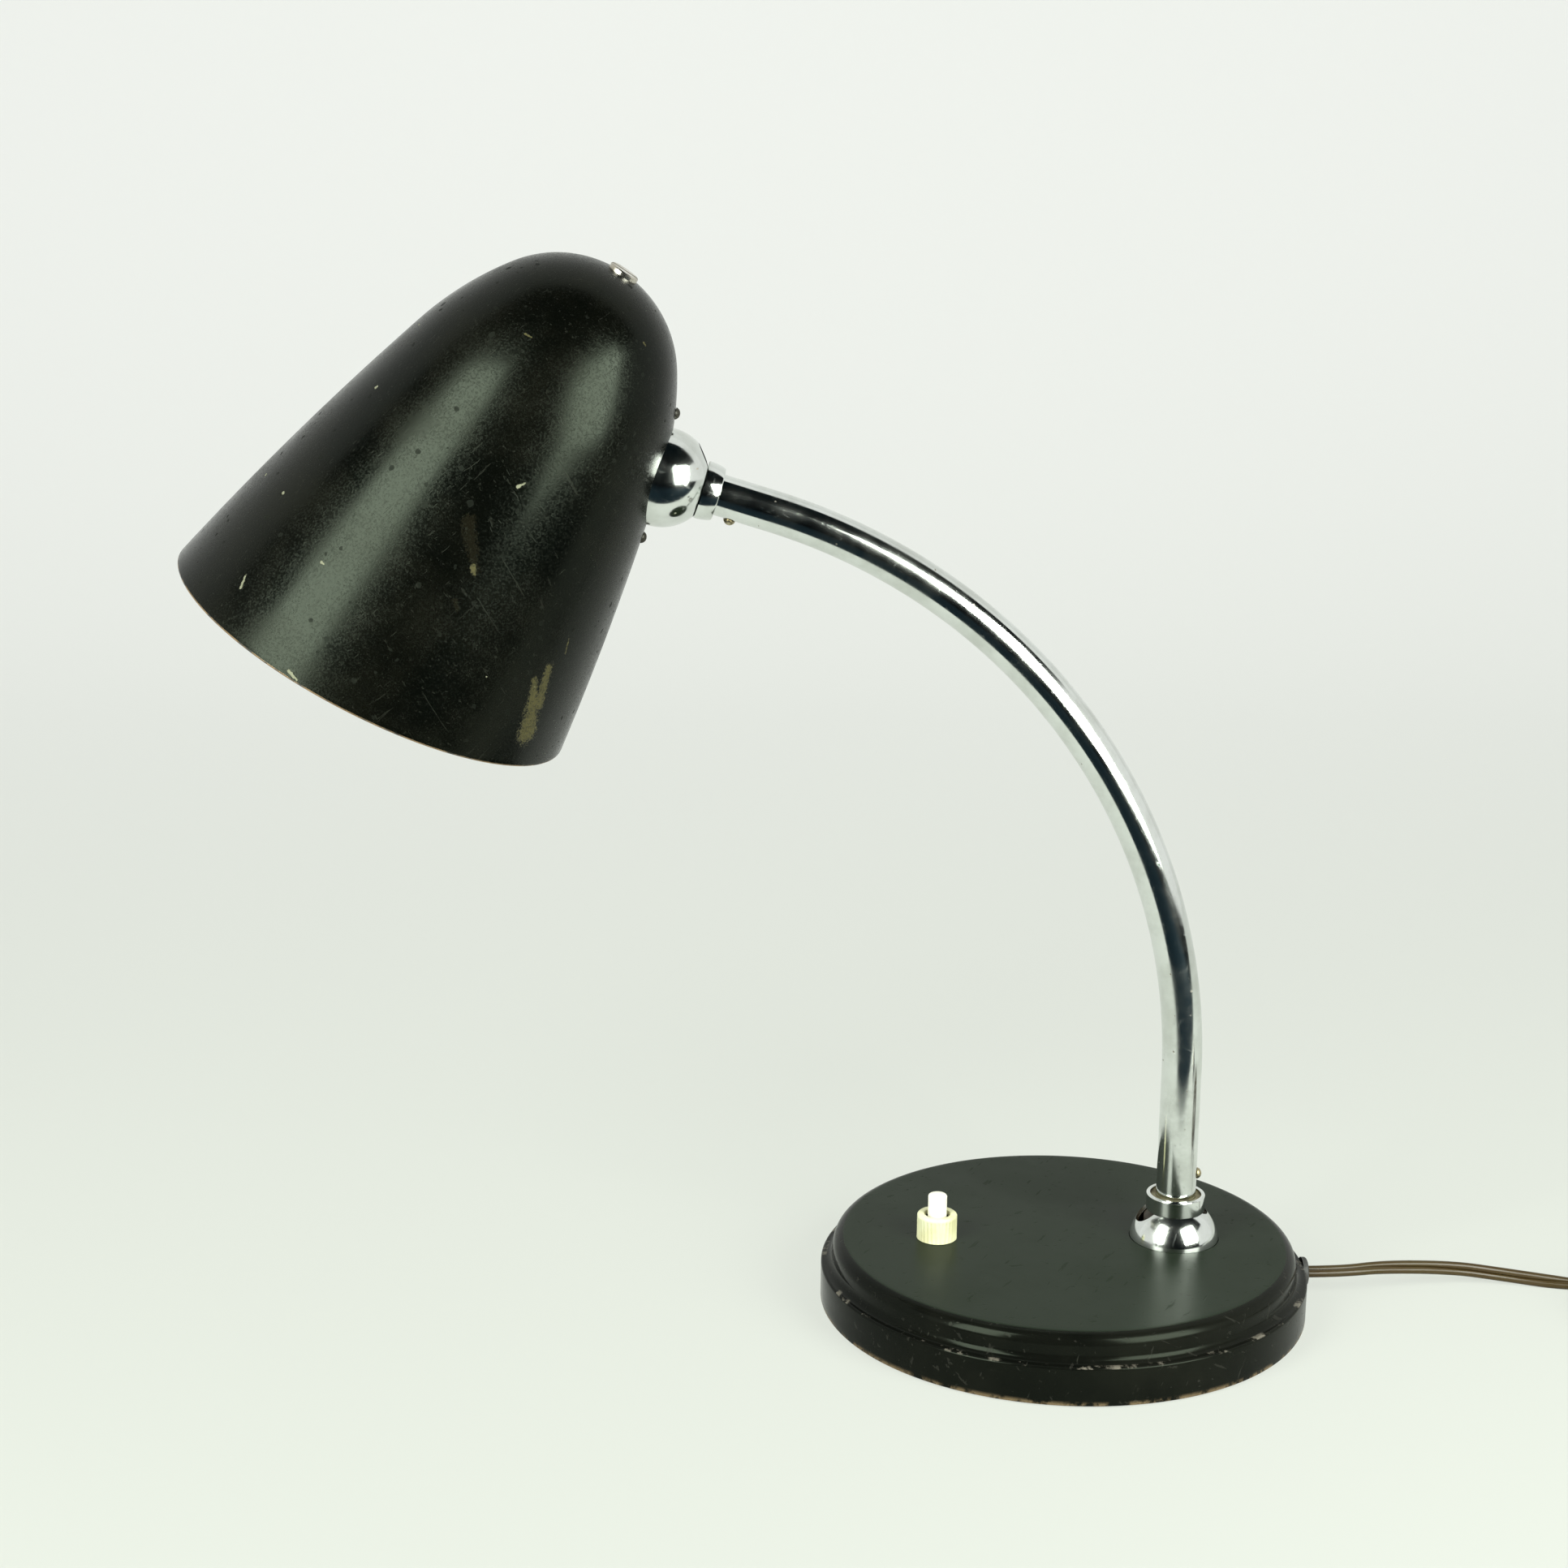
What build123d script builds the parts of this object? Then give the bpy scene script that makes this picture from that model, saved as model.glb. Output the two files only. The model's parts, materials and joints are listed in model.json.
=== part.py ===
from build123d import *
import math
import os

# A desk lamp: a bullet shade on a bent tube, with a slotted dome joint at each end of the tube,
# on a round weighted base with a push switch and a twin cord.
# Millimetres. The origin is the centre of the face that the lamp rests on, +Z is up,
# +X points to the cord, and the shade hangs over the -X side.

# Running clearances and seats
seat_gap = 0.05          # between flat faces that bear on each other across a joint
turning_clearance = 0.08  # radial, round a dome that turns in its hole
thread_clearance = 0.05  # radial, between a fastener and its tapped hole
hole_clearance = 0.25    # radial, between a fastener and a plain hole

# Base shell, spun from sheet
base_radius = 80.0
base_wall = 1.6
plate_top = 22.1         # height of the flat top face
arm_inset = 43.2         # upright end of the arm, in from the base's edge
switch_inset = 38.0      # middle of the switch, in from the base's edge at the other side
nose_radius = 4.2        # round between the flat top and the stepped edge
cove_radius = 2.8        # hollow below the nose
shoulder_width = 1.1     # from the cove to the outer face
shoulder_height = 13.1   # top of the outer band
band_round = 0.8         # round at the top of the outer band
rim_lift = 0.35          # the sheet's edge stays this far above the table

# Base bottom and ballast
felt_thickness = 1.2
felt_inset = 0.8         # from the shell's inner wall to the felt's edge
cover_thickness = 1.4
cover_gap = 0.4          # from the shell's inner wall to the cover's edge
ballast_gap = 1.0        # from the shell's inner wall to the ballast
ballast_thickness = 13.5
pocket_margin = 6.0      # spare width of the ballast's pockets, both sides together
post_inset = 9.5         # middle of each post, inside the ballast's edge
post_radius = 4.5
post_count = 3
cover_screw_radius = 2.0
cover_screw_head_radius = 3.8
cover_screw_head_height = 1.2
cover_screw_length = 18.5

# Slotted dome joints
base_dome_radius = 14.7
head_dome_radius = 15.4
base_dome_sink = 1.5     # centre of the lower dome below the flat top face
dome_wall = 1.2
dome_flange_width = 3.0
dome_flange_thickness = 1.2
slot_width = 10.6
slot_long_angle = 60.0   # end of the slot on its long side, from the dome's top
base_slot_short_angle = 47.0
head_slot_short_angle = 34.0  # this end stays under the collar
saddle_angle = 50.0      # edge of the saddle inside the dome, from its top
saddle_wall = 1.8
saddle_gap = 0.3
collar_gap = 0.3         # between the dome and the collar that slides over it
collar_height = 5.4
collar_floor = 1.1       # metal between the dome's curve and the end of the tube
base_collar_radius = 9.6
head_collar_radius = 9.1
collar_lip = 1.3         # width of the raised lip round the collar's top
collar_lip_depth = 0.8
stem_radius = 5.0
stem_bore_radius = 2.8
stem_inner_end = 2.0     # distance of the stem's inner end from the dome's centre
stem_length = 26.0
nut_across_flats = 13.0
nut_thickness = 3.4
spring_washer_radius = 7.0
spring_washer_rise = 0.9
spring_washer_thickness = 0.7
clamp_plate_thickness = 1.5
clamp_plate_ledge = 0.5  # how far a clamp plate reaches inside the dome's bore
base_clamp_width = 36.0
base_clamp_length = 58.0
base_clamp_screw_spacing = 46.0
clamp_pad_radius = 4.0
clamp_corner = 5.0
clamp_screw_radius = 1.5
clamp_screw_head_radius = 2.9
clamp_screw_head_height = 1.7
clamp_screw_bite = 0.8   # into the top plate, which it does not pierce

# Arm tube
tube_radius = 6.5
tube_wall = 1.3
tube_clearance = 0.1     # radial, between the tube and the collar's recess
bend_start = 80.0        # height where the upright part ends
bend_radius = 191.0
bend_angle = 73.0
head_straight = 36.0     # from the end of the bend to the upper dome's centre
set_screw_distance = 23.7
set_screw_radius = 1.4
set_screw_head_radius = 1.9
set_screw_head_height = 1.6

# Shade, spun from sheet, open below
shade_wall = 1.0
crown_radius = 35.9
crown_angle = 55.4       # end of the crown's round, from the shade's axis
seat_depth = 45.4        # dome's seat on the wall, below the crown along the axis
shade_seat_radius = 43.6
lip_depth = 152.3
lip_radius = 67.9
mouth_depth = 141.5      # on the axis
mouth_slant = 5.0        # the mouth is cut this far off square, longer at the front
seat_extra_lean = 0.48   # the dome's seat leans this much more than the wall does there
head_turn = 4.9          # turn of the shade about the upper dome's axis
head_slot_turn = 180.0   # the long side of the upper dome's slot points up the wall
seat_spacer_length = 52.0
seat_spacer_width = 37.0
seat_spacer_depth = 5.95
head_clamp_width = 34.0
head_clamp_length = 48.0
head_plate_corner = 12.0  # round at the corners of the spacer and the clamp plate
head_screw_spacing = 40.0
head_screw_radius = 1.4
head_screw_head_radius = 1.95
head_screw_head_height = 1.7
spot_depth = 0.25        # flat cut for each screw head on the curved wall

# Lampholder, hung from the crown
crown_screw_radius = 2.45
crown_screw_head_radius = 4.75
crown_screw_head_height = 1.5
crown_screw_length = 12.0
crown_flat_depth = 0.33
crown_washer_radius = 6.0
crown_washer_thickness = 1.0
crown_washer_drop = 0.6   # its rim meets the hollow of the crown
holder_stem_radius = 5.0
holder_stem_length = 12.0
holder_radius = 19.5
holder_wall = 4.0
holder_cap_depth = 24.0  # bottom of the cap, below the crown
holder_depth = 58.0      # mouth of the holder, below the crown
holder_cap_wall = 2.4
lamp_bore_radius = 13.3
lamp_sleeve_wall = 0.6
lamp_sleeve_length = 24.0
sleeve_gap = 0.4         # radial, between the sleeve's flange and the skirt's wall line
insert_thickness = 6.0
insert_gap = 0.6         # between the cap's rim and the insert
terminal_screw_radius = 1.2
terminal_screw_length = 4.0
terminal_screw_spacing = 18.0
contact_length = 12.0
contact_width = 5.0
contact_thickness = 0.6
contact_rise = 5.0       # degrees that the contact's tongue stands off
cable_boss_radius = 4.6
cable_boss_reach = 15.5
cable_boss_depth = 13.0

# Push switch
switch_body_radius = 11.0
switch_body_height = 13.5
switch_base_thickness = 2.6
switch_cavity_radius = 8.0
switch_roof = 3.0
bushing_radius = 5.0
bushing_height = 6.4     # above the flat top face
collar_nut_radius = 6.6
collar_nut_height = 8.6
collar_nut_opening = 4.2
collar_nut_roof = 1.6
flute_radius = 0.45
flute_count = 30
button_radius = 3.1
button_rise = 6.7        # top of the button above its collar nut
button_travel = 3.0
button_clearance = 0.2
button_flange_radius = 6.5
button_flange_thickness = 2.0
spring_wire_radius = 0.35
spring_radius = 3.2
spring_turns = 5
spring_pilot_height = 1.5
contact_ring_radius = 5.2  # middle of its width
contact_ring_width = 1.6
contact_ring_thickness = 0.6
terminal_post_radius = 0.9
terminal_thickness = 0.8
terminal_reach = 14.0    # outer end of each strip, from the switch's axis

# Wiring
flex_width = 4.6         # across both cores of the flat twin cord
lead_radius = 2.5        # round inner flex
base_lead_end = 3.6      # end of the base's flex, below the lower dome's centre
lead_start = 2.8         # end of the head's flex, below the upper dome's centre
lead_turn = 12.5         # where it turns up beside the lampholder
lead_room = 0.6          # between the flex and the lampholder
wire_radius = 1.1        # single core
wire_spacing = 6.0
block_length = 22.0
block_width = 14.0
block_height = 10.0
block_screw_radius = 1.5
block_screw_length = 3.0
cord_exit_height = 9.0
grommet_radius = 4.9
grommet_neck_radius = 3.2
grommet_flange = 1.9
grommet_lap = 0.5        # how far its neck stands out inside the wall
grip_inset = 10.9        # middle of the grip, inside the shell's inner wall
grip_length = 6.0
grip_width = 16.0
grip_cover = 3.6         # top of the grip above the cord's middle
grip_screw_radius = 1.2
grip_screw_spacing = 11.0
channel_width = 18.0
wire_channel_width = 12.0

# Free cord, its coil, and the plug
cord_lift = 0.05
coil_pitch = 5.1         # between neighbouring turns, sideways and upwards
coil_outer_radius = 33.3
coil_layer_quarters = 9  # quarter turns in a layer
coil_quarters = 37
plug_length = 36.0
plug_width = 32.0
plug_thickness = 14.0
plug_nose_width = 25.0
pin_radius = 2.0
pin_spacing = 19.0
pin_length = 19.0
plug_reach = 62.0        # from the end of the coil to the plug's back
plug_side_step = 1.5
tail_straight = 12.0     # of cord, as it leaves the coil

bottom = (Align.CENTER, Align.CENTER, Align.MIN)
channel_start = (Align.MIN, Align.CENTER, Align.MIN)
strip_start = (Align.MIN, Align.CENTER, Align.MAX)
top = (Align.CENTER, Align.CENTER, Align.MAX)

# Heights that follow from the sizes above
plate_under = plate_top - base_wall
nose_edge = base_radius - shoulder_width - cove_radius
flat_radius = nose_edge - nose_radius  # edge of the flat top face
inner_wall = base_radius - base_wall
arm_x = base_radius - arm_inset
switch_x = switch_inset - base_radius
ballast_radius = nose_edge - base_wall - ballast_gap
post_circle_radius = ballast_radius - post_inset
grip_x = inner_wall - grip_inset
cover_bottom = felt_thickness
ballast_bottom = cover_bottom + cover_thickness
ballast_top = ballast_bottom + ballast_thickness
dome_height = plate_top - base_dome_sink
base_skirt_depth = dome_height - plate_under + seat_gap + dome_flange_thickness
base_clamp_face = dome_height - base_skirt_depth - seat_gap
head_skirt_depth = seat_spacer_depth + seat_gap + dome_flange_thickness
grommet_inner_face = inner_wall - grommet_lap
grommet_outer_face = base_radius + grommet_flange
crown_washer_seat = -(shade_wall + crown_washer_drop)
holder_stem_top = crown_washer_seat - crown_washer_thickness
insert_face = -holder_cap_depth - insert_gap
block_top = ballast_bottom + block_height
grip_top = cord_exit_height + grip_cover


def at(x=0.0, y=0.0, z=0.0):
    return Location((x, y, z))


def rod(radius, low, high):
    """A round bar about Z from one height to another."""
    return at(z=low) * Cylinder(radius, high - low, align=bottom)


def pipe(outer, inner, low, high):
    """A round pipe about Z from one height to another."""
    return rod(outer, low, high) - rod(inner, low - 1, high + 1)


def turned(edges):
    """A solid turned about Z from a closed outline in the XZ plane."""
    return revolve(make_face(edges), Axis.Z)


def outline(*points):
    """A closed outline of straight lines in the XZ plane, from radius and height pairs."""
    return Polyline(*[(radius, 0, height) for radius, height in points], close=True)


def round_head(radius, height):
    """A domed screw head standing on the XY plane."""
    ball = (radius**2 + height**2) / (2 * height)
    half = math.asin(radius / ball) / 2
    crown = (ball * math.sin(half), 0, height - ball + ball * math.cos(half))
    return turned([
        Line((0, 0, 0), (radius, 0, 0)),
        ThreePointArc((radius, 0, 0), crown, (0, 0, height)),
        Line((0, 0, height), (0, 0, 0)),
    ])


def round_head_screw(head_radius, head_height, shank_radius, length):
    """A slotted screw with its head above the XY plane and its shank below."""
    slot = at(z=head_height) * Box(3 * head_radius, head_height / 2, head_height, align=top)
    slot = at(z=head_height / 2) * slot
    return round_head(head_radius, head_height) + rod(shank_radius, -length, 0) - slot


def flat_head_screw(head_radius, head_height, shank_radius, length):
    """A countersunk slotted screw with its head's face on the XY plane, pointing up."""
    head = Cone(head_radius, shank_radius, head_height, align=bottom)
    slot = Box(3 * head_radius, head_height / 2, head_height / 2, align=bottom)
    return head + rod(shank_radius, 0, length) - slot


# Base


def base_outline_edges():
    """Half section of the base shell."""
    nose_centre = plate_top - nose_radius
    cove_centre = shoulder_height + cove_radius
    inner_nose = nose_radius - base_wall
    inner_edge = nose_edge - base_wall
    inner_shoulder = shoulder_height - base_wall
    band_top = shoulder_height - band_round
    diagonal = math.sqrt(0.5)
    return [
        Line((0, 0, plate_top), (flat_radius, 0, plate_top)),
        ThreePointArc(
            (flat_radius, 0, plate_top),
            (flat_radius + nose_radius * diagonal, 0, nose_centre + nose_radius * diagonal),
            (nose_edge, 0, nose_centre),
        ),
        Line((nose_edge, 0, nose_centre), (nose_edge, 0, cove_centre)),
        ThreePointArc(
            (nose_edge, 0, cove_centre),
            (
                nose_edge + cove_radius * (1 - diagonal),
                0,
                cove_centre - cove_radius * diagonal,
            ),
            (nose_edge + cove_radius, 0, shoulder_height),
        ),
        Line(
            (nose_edge + cove_radius, 0, shoulder_height),
            (base_radius - band_round, 0, shoulder_height),
        ),
        ThreePointArc(
            (base_radius - band_round, 0, shoulder_height),
            (
                base_radius - band_round * (1 - diagonal),
                0,
                band_top + band_round * diagonal,
            ),
            (base_radius, 0, band_top),
        ),
        Line((base_radius, 0, band_top), (base_radius, 0, rim_lift)),
        Line((base_radius, 0, rim_lift), (inner_wall, 0, rim_lift)),
        Line((inner_wall, 0, rim_lift), (inner_wall, 0, inner_shoulder)),
        Line((inner_wall, 0, inner_shoulder), (inner_edge, 0, inner_shoulder)),
        Line((inner_edge, 0, inner_shoulder), (inner_edge, 0, nose_centre)),
        ThreePointArc(
            (inner_edge, 0, nose_centre),
            (flat_radius + inner_nose * diagonal, 0, nose_centre + inner_nose * diagonal),
            (flat_radius, 0, plate_under),
        ),
        Line((flat_radius, 0, plate_under), (0, 0, plate_under)),
        Line((0, 0, plate_under), (0, 0, plate_top)),
    ]


def post_places():
    """Places of the posts under the top plate; the first stands behind the switch."""
    return PolarLocations(post_circle_radius, post_count, start_angle=180)


def clamp_screw_places(spacing):
    """The two screws of a clamp plate, in line with its length."""
    return [at(y=side * spacing / 2) for side in (-1, 1)]


def base_shell():
    shell = turned(base_outline_edges())
    for place in post_places():
        shell += place * rod(post_radius, ballast_top, plate_under + 0.5)
        shell -= place * rod(cover_screw_radius + thread_clearance, ballast_top - 1, plate_under)
    joint = at(arm_x, 0, 0)
    tapped_top = plate_under + clamp_screw_bite + hole_clearance
    for place in clamp_screw_places(base_clamp_screw_spacing):
        shell += joint * place * rod(clamp_pad_radius, base_clamp_face, plate_under + 0.5)
        tapped = rod(clamp_screw_radius + thread_clearance, base_clamp_face - 1, tapped_top)
        shell -= joint * place * tapped
    shell -= joint * rod(base_dome_radius + turning_clearance, 0, plate_top + 1)
    shell -= at(switch_x) * rod(bushing_radius + thread_clearance, 0, plate_top + 1)
    cord_hole = rod(grommet_neck_radius + seat_gap, grommet_inner_face, base_radius + 1)
    shell -= at(z=cord_exit_height) * Rotation(0, 90, 0) * cord_hole
    return shell


def ballast():
    disc = rod(ballast_radius, ballast_bottom, ballast_top)
    low = ballast_bottom - 1
    height = ballast_thickness + 2
    pocket = Box(
        base_clamp_width + pocket_margin, base_clamp_length + pocket_margin, height, align=bottom
    )
    disc -= at(arm_x, 0, low) * pocket
    disc -= at(switch_x) * rod(switch_body_radius + pocket_margin / 2, low, low + height)
    wire_channel = Box(arm_x - switch_x, wire_channel_width, height, align=channel_start)
    disc -= at(switch_x, 0, low) * wire_channel
    cord_channel = Box(ballast_radius, channel_width, height, align=channel_start)
    disc -= at(arm_x, 0, low) * cord_channel
    for place in post_places():
        disc -= place * rod(cover_screw_radius + hole_clearance, low, low + height)
    return disc


def bottom_cover():
    cover = rod(inner_wall - cover_gap, cover_bottom, ballast_bottom)
    countersink = Cone(
        cover_screw_head_radius + seat_gap,
        cover_screw_radius + hole_clearance,
        cover_screw_head_height,
        align=bottom,
    )
    for place in post_places():
        cover -= place * at(z=cover_bottom) * countersink
        cover -= place * rod(cover_screw_radius + hole_clearance, 0, ballast_bottom + 1)
    for place in grip_screw_places():
        cover -= place * rod(grip_screw_radius + thread_clearance, 0, ballast_bottom + 1)
    return cover


def felt_pad():
    pad = rod(inner_wall - felt_inset, 0, felt_thickness)
    for place in post_places():
        pad -= place * rod(cover_screw_head_radius + 0.5, -1, felt_thickness + 1)
    return pad


def cover_screws():
    screw = flat_head_screw(
        cover_screw_head_radius, cover_screw_head_height, cover_screw_radius, cover_screw_length
    )
    return [place * at(z=cover_bottom) * screw for place in post_places()]


# Slotted dome joints, each modelled with its dome's centre at the origin and the arm along +Z


def slotted_dome(radius, skirt_depth, slot_short_angle):
    """A hollow hemisphere, slotted through its top, on a skirt and flange."""
    inner = radius - dome_wall
    upper = Box(3 * radius, 3 * radius, 2 * radius, align=bottom)
    dome = (Sphere(radius) - Sphere(inner)) & upper
    dome = Rotation(0, 0, 90) * dome  # its seam lies off the slot
    end_angle = math.degrees(math.asin(slot_width / 2 / radius))
    long_end = slot_long_angle - end_angle
    short_end = slot_short_angle - end_angle
    reach = 2 * radius
    cutter = rod(slot_width / 2, 0, reach)
    left = math.radians(long_end)
    right = math.radians(short_end)
    wedge = make_face(Polyline(
        (0, 0, 0),
        (-reach * math.sin(left), 0, reach * math.cos(left)),
        (0, 0, reach),
        (reach * math.sin(right), 0, reach * math.cos(right)),
        close=True,
    ))
    dome -= (
        extrude(wedge, amount=slot_width / 2, dir=(0, 1, 0), both=True)
        + Rotation(0, -long_end, 0) * cutter
        + Rotation(0, short_end, 0) * cutter
    )
    flange_top = -skirt_depth + dome_flange_thickness
    skirt = pipe(radius, inner, -skirt_depth, 0)
    skirt += pipe(radius + dome_flange_width, inner, -skirt_depth, flange_top)
    return dome + skirt


def saddle(dome_radius):
    """The cap inside the dome that the arm's nut pulls against it."""
    outer = dome_radius - dome_wall - saddle_gap
    edge = outer * math.sin(math.radians(saddle_angle))
    cap = (Sphere(outer) - Sphere(outer - saddle_wall)) & rod(edge, 0, outer)
    return cap - rod(stem_radius + thread_clearance, 0, outer + 1)


def collar_top(dome_radius, collar_radius):
    """Height of a collar's top face above its dome's centre."""
    slide = dome_radius + collar_gap
    return math.sqrt(slide**2 - collar_radius**2) + collar_height


def tube_end(dome_radius):
    """Height of the tube's end above its dome's centre."""
    slide = dome_radius + collar_gap
    return math.sqrt(slide**2 - stem_radius**2) + collar_floor


def collar(dome_radius, collar_radius):
    """The ring that slides over the dome and takes the end of the tube."""
    face = collar_top(dome_radius, collar_radius)
    ring = rod(collar_radius, dome_radius / 2, face)
    ring = chamfer(ring.edges().group_by(Axis.Z)[-1], 0.5)
    ring -= Sphere(dome_radius + collar_gap)
    ring -= rod(stem_radius + thread_clearance, 0, face)
    ring -= rod(tube_radius + tube_clearance, tube_end(dome_radius), face + 1)
    ring -= rod(collar_radius - collar_lip, face - collar_lip_depth, face + 1)
    return ring


def stem():
    """The hollow stem that passes through the slot into the tube."""
    return pipe(stem_radius, stem_bore_radius, stem_inner_end, stem_inner_end + stem_length)


def washer_seat(dome_radius):
    """Height where the dished washer's rim meets the saddle's hollow side."""
    hollow = dome_radius - dome_wall - saddle_gap - saddle_wall
    return math.sqrt(hollow**2 - spring_washer_radius**2) - seat_gap


def nut_face(dome_radius):
    """Height of the nut's upper face, below the dished washer."""
    stack = spring_washer_thickness + spring_washer_rise + seat_gap
    return washer_seat(dome_radius) - stack


def stem_nut(dome_radius):
    hexagon = RegularPolygon(nut_across_flats / 2, 6, major_radius=False)
    low = nut_face(dome_radius) - nut_thickness
    nut = at(z=low) * extrude(hexagon, amount=nut_thickness)
    return nut - rod(stem_radius + thread_clearance, 0, dome_radius)


def spring_washer(dome_radius):
    """A dished washer between the nut and the saddle."""
    inner = stem_radius + hole_clearance
    high = washer_seat(dome_radius) - spring_washer_thickness
    low = high - spring_washer_rise
    return turned(outline(
        (inner, low),
        (inner, low + spring_washer_thickness),
        (spring_washer_radius, high + spring_washer_thickness),
        (spring_washer_radius, high),
    ))


def set_screw():
    """The screw across the tube that holds the stem; its axis is local +X."""
    head_seat = tube_radius + 2 * seat_gap
    length = head_seat - stem_radius - seat_gap
    screw = round_head_screw(
        set_screw_head_radius, set_screw_head_height, set_screw_radius, length
    )
    return at(head_seat, 0, set_screw_distance) * Rotation(0, 90, 0) * screw


def base_clamp_plate():
    """The plate under the lower dome's flange, in the lamp's frame."""
    plate = Box(base_clamp_width, base_clamp_length, clamp_plate_thickness, align=top)
    plate = at(z=base_clamp_face) * fillet(plate.edges().filter_by(Axis.Z), clamp_corner)
    plate -= rod(base_dome_radius - dome_wall - clamp_plate_ledge, 0, plate_top)
    for place in clamp_screw_places(base_clamp_screw_spacing):
        plate -= place * rod(clamp_screw_radius + hole_clearance, 0, plate_top)
    return at(arm_x) * plate


def base_clamp_screws():
    length = clamp_plate_thickness + plate_under - base_clamp_face + clamp_screw_bite
    screw = round_head_screw(
        clamp_screw_head_radius, clamp_screw_head_height, clamp_screw_radius, length
    )
    seat = at(arm_x, 0, base_clamp_face - clamp_plate_thickness) * Rotation(180, 0, 0)
    return [seat * place * screw for place in clamp_screw_places(base_clamp_screw_spacing)]


# Arm


def arm_points():
    """Start of the tube, both ends of its bend, the bend's middle, and its upper end."""
    turn = math.radians(bend_angle)
    start = Vector(arm_x, 0, dome_height + tube_end(base_dome_radius))
    low = Vector(arm_x, 0, bend_start)
    middle = low + Vector(
        -bend_radius * (1 - math.cos(turn / 2)), 0, bend_radius * math.sin(turn / 2)
    )
    high = low + Vector(-bend_radius * (1 - math.cos(turn)), 0, bend_radius * math.sin(turn))
    end = high + arm_direction() * (head_straight - tube_end(head_dome_radius))
    return start, low, middle, high, end


def arm_direction():
    """Direction of the tube's upper end, from the arm to the head."""
    turn = math.radians(bend_angle)
    return Vector(-math.sin(turn), 0, math.cos(turn))


def head_centre():
    return arm_points()[3] + arm_direction() * head_straight


def head_frame():
    """Frame of the upper joint: +Z back along the arm, +X up the shade's wall."""
    back = arm_direction() * -1
    up = Vector(-back.Z, 0, back.X)
    return Plane(origin=head_centre(), x_dir=up, z_dir=back).location


def arm_tube():
    start, low, middle, high, end = arm_points()
    path = Wire([Line(start, low), ThreePointArc(low, middle, high), Line(high, end)])
    section = Circle(tube_radius) - Circle(tube_radius - tube_wall)
    tube = sweep(Plane(origin=start, z_dir=(0, 0, 1)) * section, path=path)
    hole = at(z=set_screw_distance) * Rotation(0, 90, 0)
    hole *= rod(set_screw_radius + thread_clearance, 0, 2 * tube_radius)
    tube -= at(arm_x, 0, dome_height) * hole
    tube -= head_frame() * Rotation(0, 0, 180) * hole
    return tube


def arm_lead():
    """The flex inside the arm, from stem to stem."""
    start, low, middle, high, end = arm_points()
    lower_end = Vector(arm_x, 0, dome_height + stem_inner_end)
    upper_end = head_centre() - arm_direction() * stem_inner_end
    path = Wire([
        Line(lower_end, low), ThreePointArc(low, middle, high), Line(high, upper_end)
    ])
    return sweep(Plane(origin=lower_end, z_dir=(0, 0, 1)) * Circle(lead_radius), path=path)


# Shade, modelled with its crown at the origin, its axis along Z and the arm's side along +X


def shade_arcs():
    """The wall's outer line: crown, shoulder and flank, each tangent to the next."""
    turn = math.radians(crown_angle)
    half = turn / 2
    crown_end = (crown_radius * math.sin(turn), 0, -crown_radius * (1 - math.cos(turn)))
    crown_middle = (crown_radius * math.sin(half), 0, -crown_radius * (1 - math.cos(half)))
    crown = ThreePointArc((0, 0, 0), crown_middle, crown_end)
    seat = (shade_seat_radius, 0, -seat_depth)
    shoulder = TangentArc(crown_end, seat, tangent=(math.cos(turn), 0, -math.sin(turn)))
    flank = TangentArc(seat, (lip_radius, 0, -lip_depth), tangent=shoulder % 1)
    return crown, shoulder, flank


def inset(arc, amount):
    """The same arc, moved square to itself into the shade."""
    points = []
    for along in (0, 0.5, 1):
        heading = arc % along
        points.append(arc @ along + Vector(heading.Z, 0, -heading.X) * amount)
    return ThreePointArc(*points)


def shade_body(depth):
    """The solid inside the shade's outer line, moved in by a depth."""
    arcs = [inset(arc, depth) for arc in shade_arcs()]
    crown = arcs[0] @ 0
    lip = arcs[2] @ 1
    foot = Vector(0, 0, lip.Z)
    return turned(arcs + [Line(lip, foot), Line(foot, crown)])


def seat_frame():
    """Frame of the dome's seat on the wall: +Z out to the arm, +X up the wall."""
    down = shade_arcs()[1] % 1
    lean = math.atan2(down.X, -down.Z) + math.radians(seat_extra_lean)
    out = (math.cos(lean), 0, math.sin(lean))
    up = (-math.sin(lean), 0, math.cos(lean))
    return Plane(origin=(shade_seat_radius, 0, -seat_depth), x_dir=up, z_dir=out).location


def wall_height(offset, arc):
    """Height of the wall's outer line over the seat, at an offset up the wall."""
    centre = (seat_frame().inverse() * Location(arc.arc_center)).position
    side = -1 if centre.Z > 0 else 1
    return centre.Z + side * math.sqrt(arc.radius**2 - (offset - centre.X) ** 2)


def head_screw_places():
    """The two screws above and below the dome, at the height of the wall there."""
    crown, shoulder, flank = shade_arcs()
    half = head_screw_spacing / 2
    return [
        at(half, 0, wall_height(half, shoulder) - spot_depth),
        at(-half, 0, wall_height(-half, flank) - spot_depth),
    ]


def shade():
    body = shade_body(0) - shade_body(shade_wall)
    slant = math.radians(mouth_slant)
    mouth = Plane(origin=(0, 0, -mouth_depth), z_dir=(-math.sin(slant), 0, math.cos(slant)))
    body -= mouth.location * Box(4 * lip_radius, 4 * lip_radius, lip_radius, align=top)
    body -= rod(crown_screw_head_radius + 0.1, -crown_flat_depth, 1)
    body -= rod(crown_screw_radius + hole_clearance, -crown_radius / 2, 1)
    seat = seat_frame()
    body -= seat * rod(head_dome_radius + turning_clearance, -crown_radius / 2, crown_radius / 2)
    for place in head_screw_places():
        body -= seat * place * rod(head_screw_head_radius + 0.15, 0, 3)
        body -= seat * place * rod(head_screw_radius + hole_clearance, -10, 1)
    return body


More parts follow.
